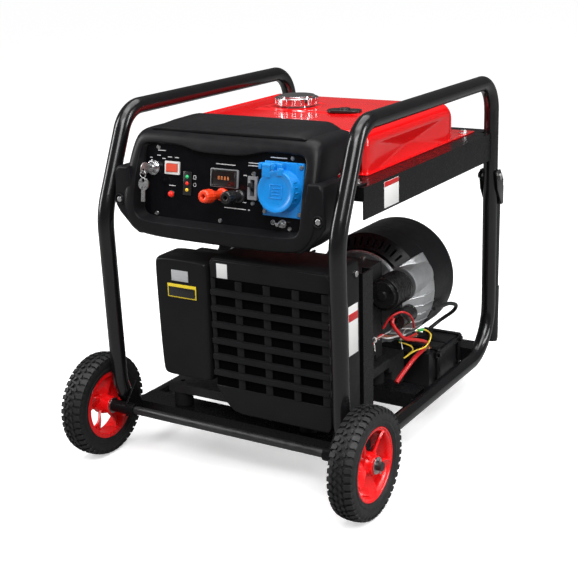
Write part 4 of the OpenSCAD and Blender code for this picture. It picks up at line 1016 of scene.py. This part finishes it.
def bell_details():
    ribs, bolts = Shape(), Shape()
    for k in range(19):
        a = -150 + 10 * k
        if 18 < a < 40:
            continue
        near, far = at_crank(92, a, 60), at_crank(114, a, 110)
        ribs.rod(near, far, 2.1, 0.5, 8)
        ribs.rod(far, at_crank(117.5, a, 150), 1.8, 0.5, 8)
    ribs.turned([(84, 0), (90, 0), (91, 2), (90, 5), (84, 5)], (CRANK_X, 66, CRANK_Z), (0, -1, 0), 64, closed=True)
    ribs.done("bell_ribs", "cast", slot="cast_aluminium", soften=0.3)
    for k in range(7):
        a = -140 + 45 * k
        bolts.hexagon(at_crank(76, a, 57), (0, -1, 0), 11, 6)
    bolts.done("bell_bolts", "zinc", slot="zinc", soften=0.4)
    rings, nose = Shape(), Shape()
    for k in range(8):
        y = -4 + 6.5 * k
        rings.turned([(31, -0.5), (32.8, -0.5), (32.8, 0.5), (31, 0.5)], (175, y, 300), (0, 1, 0), 40, closed=True)
    for k in range(2):
        a = radians(35 + 180 * k)
        rings.rod((175 + 24 * cos(a), -14, 300 + 24 * sin(a)), (175 + 24 * cos(a), -19, 300 + 24 * sin(a)),
                  3.4, 0.5, 14)
    rings.done("starter_bands", "black_gloss", slot="black_sheet", soften=0.2)
    nose.turned([(29, 0), (33.4, 0), (33.6, 1), (33.6, 10), (32, 12), (29, 12)], (175, 62, 300), (0, 1, 0), 40,
                closed=True)
    for k in range(6):
        a = tau * k / 6
        nose.rod((175 + 32 * cos(a), 62, 300 + 32 * sin(a)), (175 + 27 * cos(a), 146, 300 + 27 * sin(a)), 1.8, 0.4, 8)
    nose.done("starter_nose_ring", "cast", slot="cast_aluminium", soften=0.4)


bell_details()

# ---------------------------------------------------------------- floor, light, camera


def studio():
    floor_mesh = bpy.data.meshes.new("floor")
    floor_mesh.from_pydata([(-60, -60, 0), (60, -60, 0), (60, 60, 0), (-60, 60, 0)], [], [(0, 1, 2, 3)])
    floor = bpy.data.objects.new("floor", floor_mesh)
    bpy.context.scene.collection.objects.link(floor)
    material, floor_shader = shader("pale_floor", (0.3, 0.3, 0.3), 0.8)
    floor_shader.inputs["Specular IOR Level"].default_value = 0.0
    seen = add(material, "ShaderNodeLightPath")
    tone = add(material, "ShaderNodeMix", [("Factor", seen, "Is Camera Ray")], data_type="RGBA")
    tone.inputs[6].default_value = (0.22, 0.22, 0.22, 1)
    tone.inputs[7].default_value = (0.85, 0.85, 0.85, 1)
    join(material, tone, 2, floor_shader, "Base Color")
    shine = add(material, "ShaderNodeMath", [(0, seen, "Is Camera Ray")], operation="MULTIPLY_ADD")
    shine.inputs[1].default_value = 0.44
    shine.inputs[2].default_value = 0.06
    floor_shader.inputs["Emission Color"].default_value = (1, 1, 1, 1)
    join(material, shine, 0, floor_shader, "Emission Strength")
    floor_mesh.materials.append(material)
    world = bpy.data.worlds.new("studio")
    world.use_nodes = True
    world.node_tree.nodes["Background"].inputs["Color"].default_value = (1, 1, 1, 1)
    world.node_tree.nodes["Background"].inputs["Strength"].default_value = 0.1
    bpy.context.scene.world = world
    for name, place, size, power in (
        ("key_softbox", (1.6, -2.0, 2.6), (1.6, 1.6), 60),
        ("left_strip", (-2.2, -1.2, 1.5), (0.6, 2.0), 38),
        ("top_softbox", (0.0, 0.3, 2.8), (2.2, 2.2), 45),
        ("right_strip", (2.4, 0.6, 1.3), (0.5, 1.8), 32),
    ):
        data = bpy.data.lights.new(name, "AREA")
        data.shape = "RECTANGLE"
        data.size, data.size_y = size
        data.energy = power
        lamp = bpy.data.objects.new(name, data)
        lamp.location = place
        lamp.rotation_mode = "QUATERNION"
        lamp.rotation_quaternion = (Vector((0, -0.05, 0.3)) - Vector(place)).to_track_quat("-Z", "Y")
        bpy.context.scene.collection.objects.link(lamp)
    sun_data = bpy.data.lights.new("wide_sky_light", "SUN")
    sun_data.energy, sun_data.angle = 1.6, radians(50)
    sun = bpy.data.objects.new("wide_sky_light", sun_data)
    sun.rotation_euler = (radians(18), radians(12), 0)
    bpy.context.scene.collection.objects.link(sun)
    scene = bpy.context.scene
    scene.view_settings.view_transform = "Standard"
    scene.view_settings.look = "None"


def camera():
    azimuth, elevation, roll = radians(31.5), radians(17.27), radians(-1.66)
    data = bpy.data.cameras.new("viewpoint")
    data.lens = 72.98
    data.sensor_width = 36
    data.clip_start = 0.05
    eye = bpy.data.objects.new("viewpoint", data)
    bpy.context.scene.collection.objects.link(eye)
    forward = Vector((-sin(azimuth) * cos(elevation), cos(azimuth) * cos(elevation), -sin(elevation)))
    right = Vector((cos(azimuth), sin(azimuth), 0))
    up = right.cross(forward)
    tilted_right = right * cos(roll) + up * sin(roll)
    tilted_up = up * cos(roll) - right * sin(roll)
    eye.matrix_world = Matrix.Translation((1.1247, -1.9009, 0.9724)) @ Matrix(
        (tilted_right, tilted_up, -forward)).transposed().to_4x4()
    bpy.context.scene.camera = eye


studio()
camera()
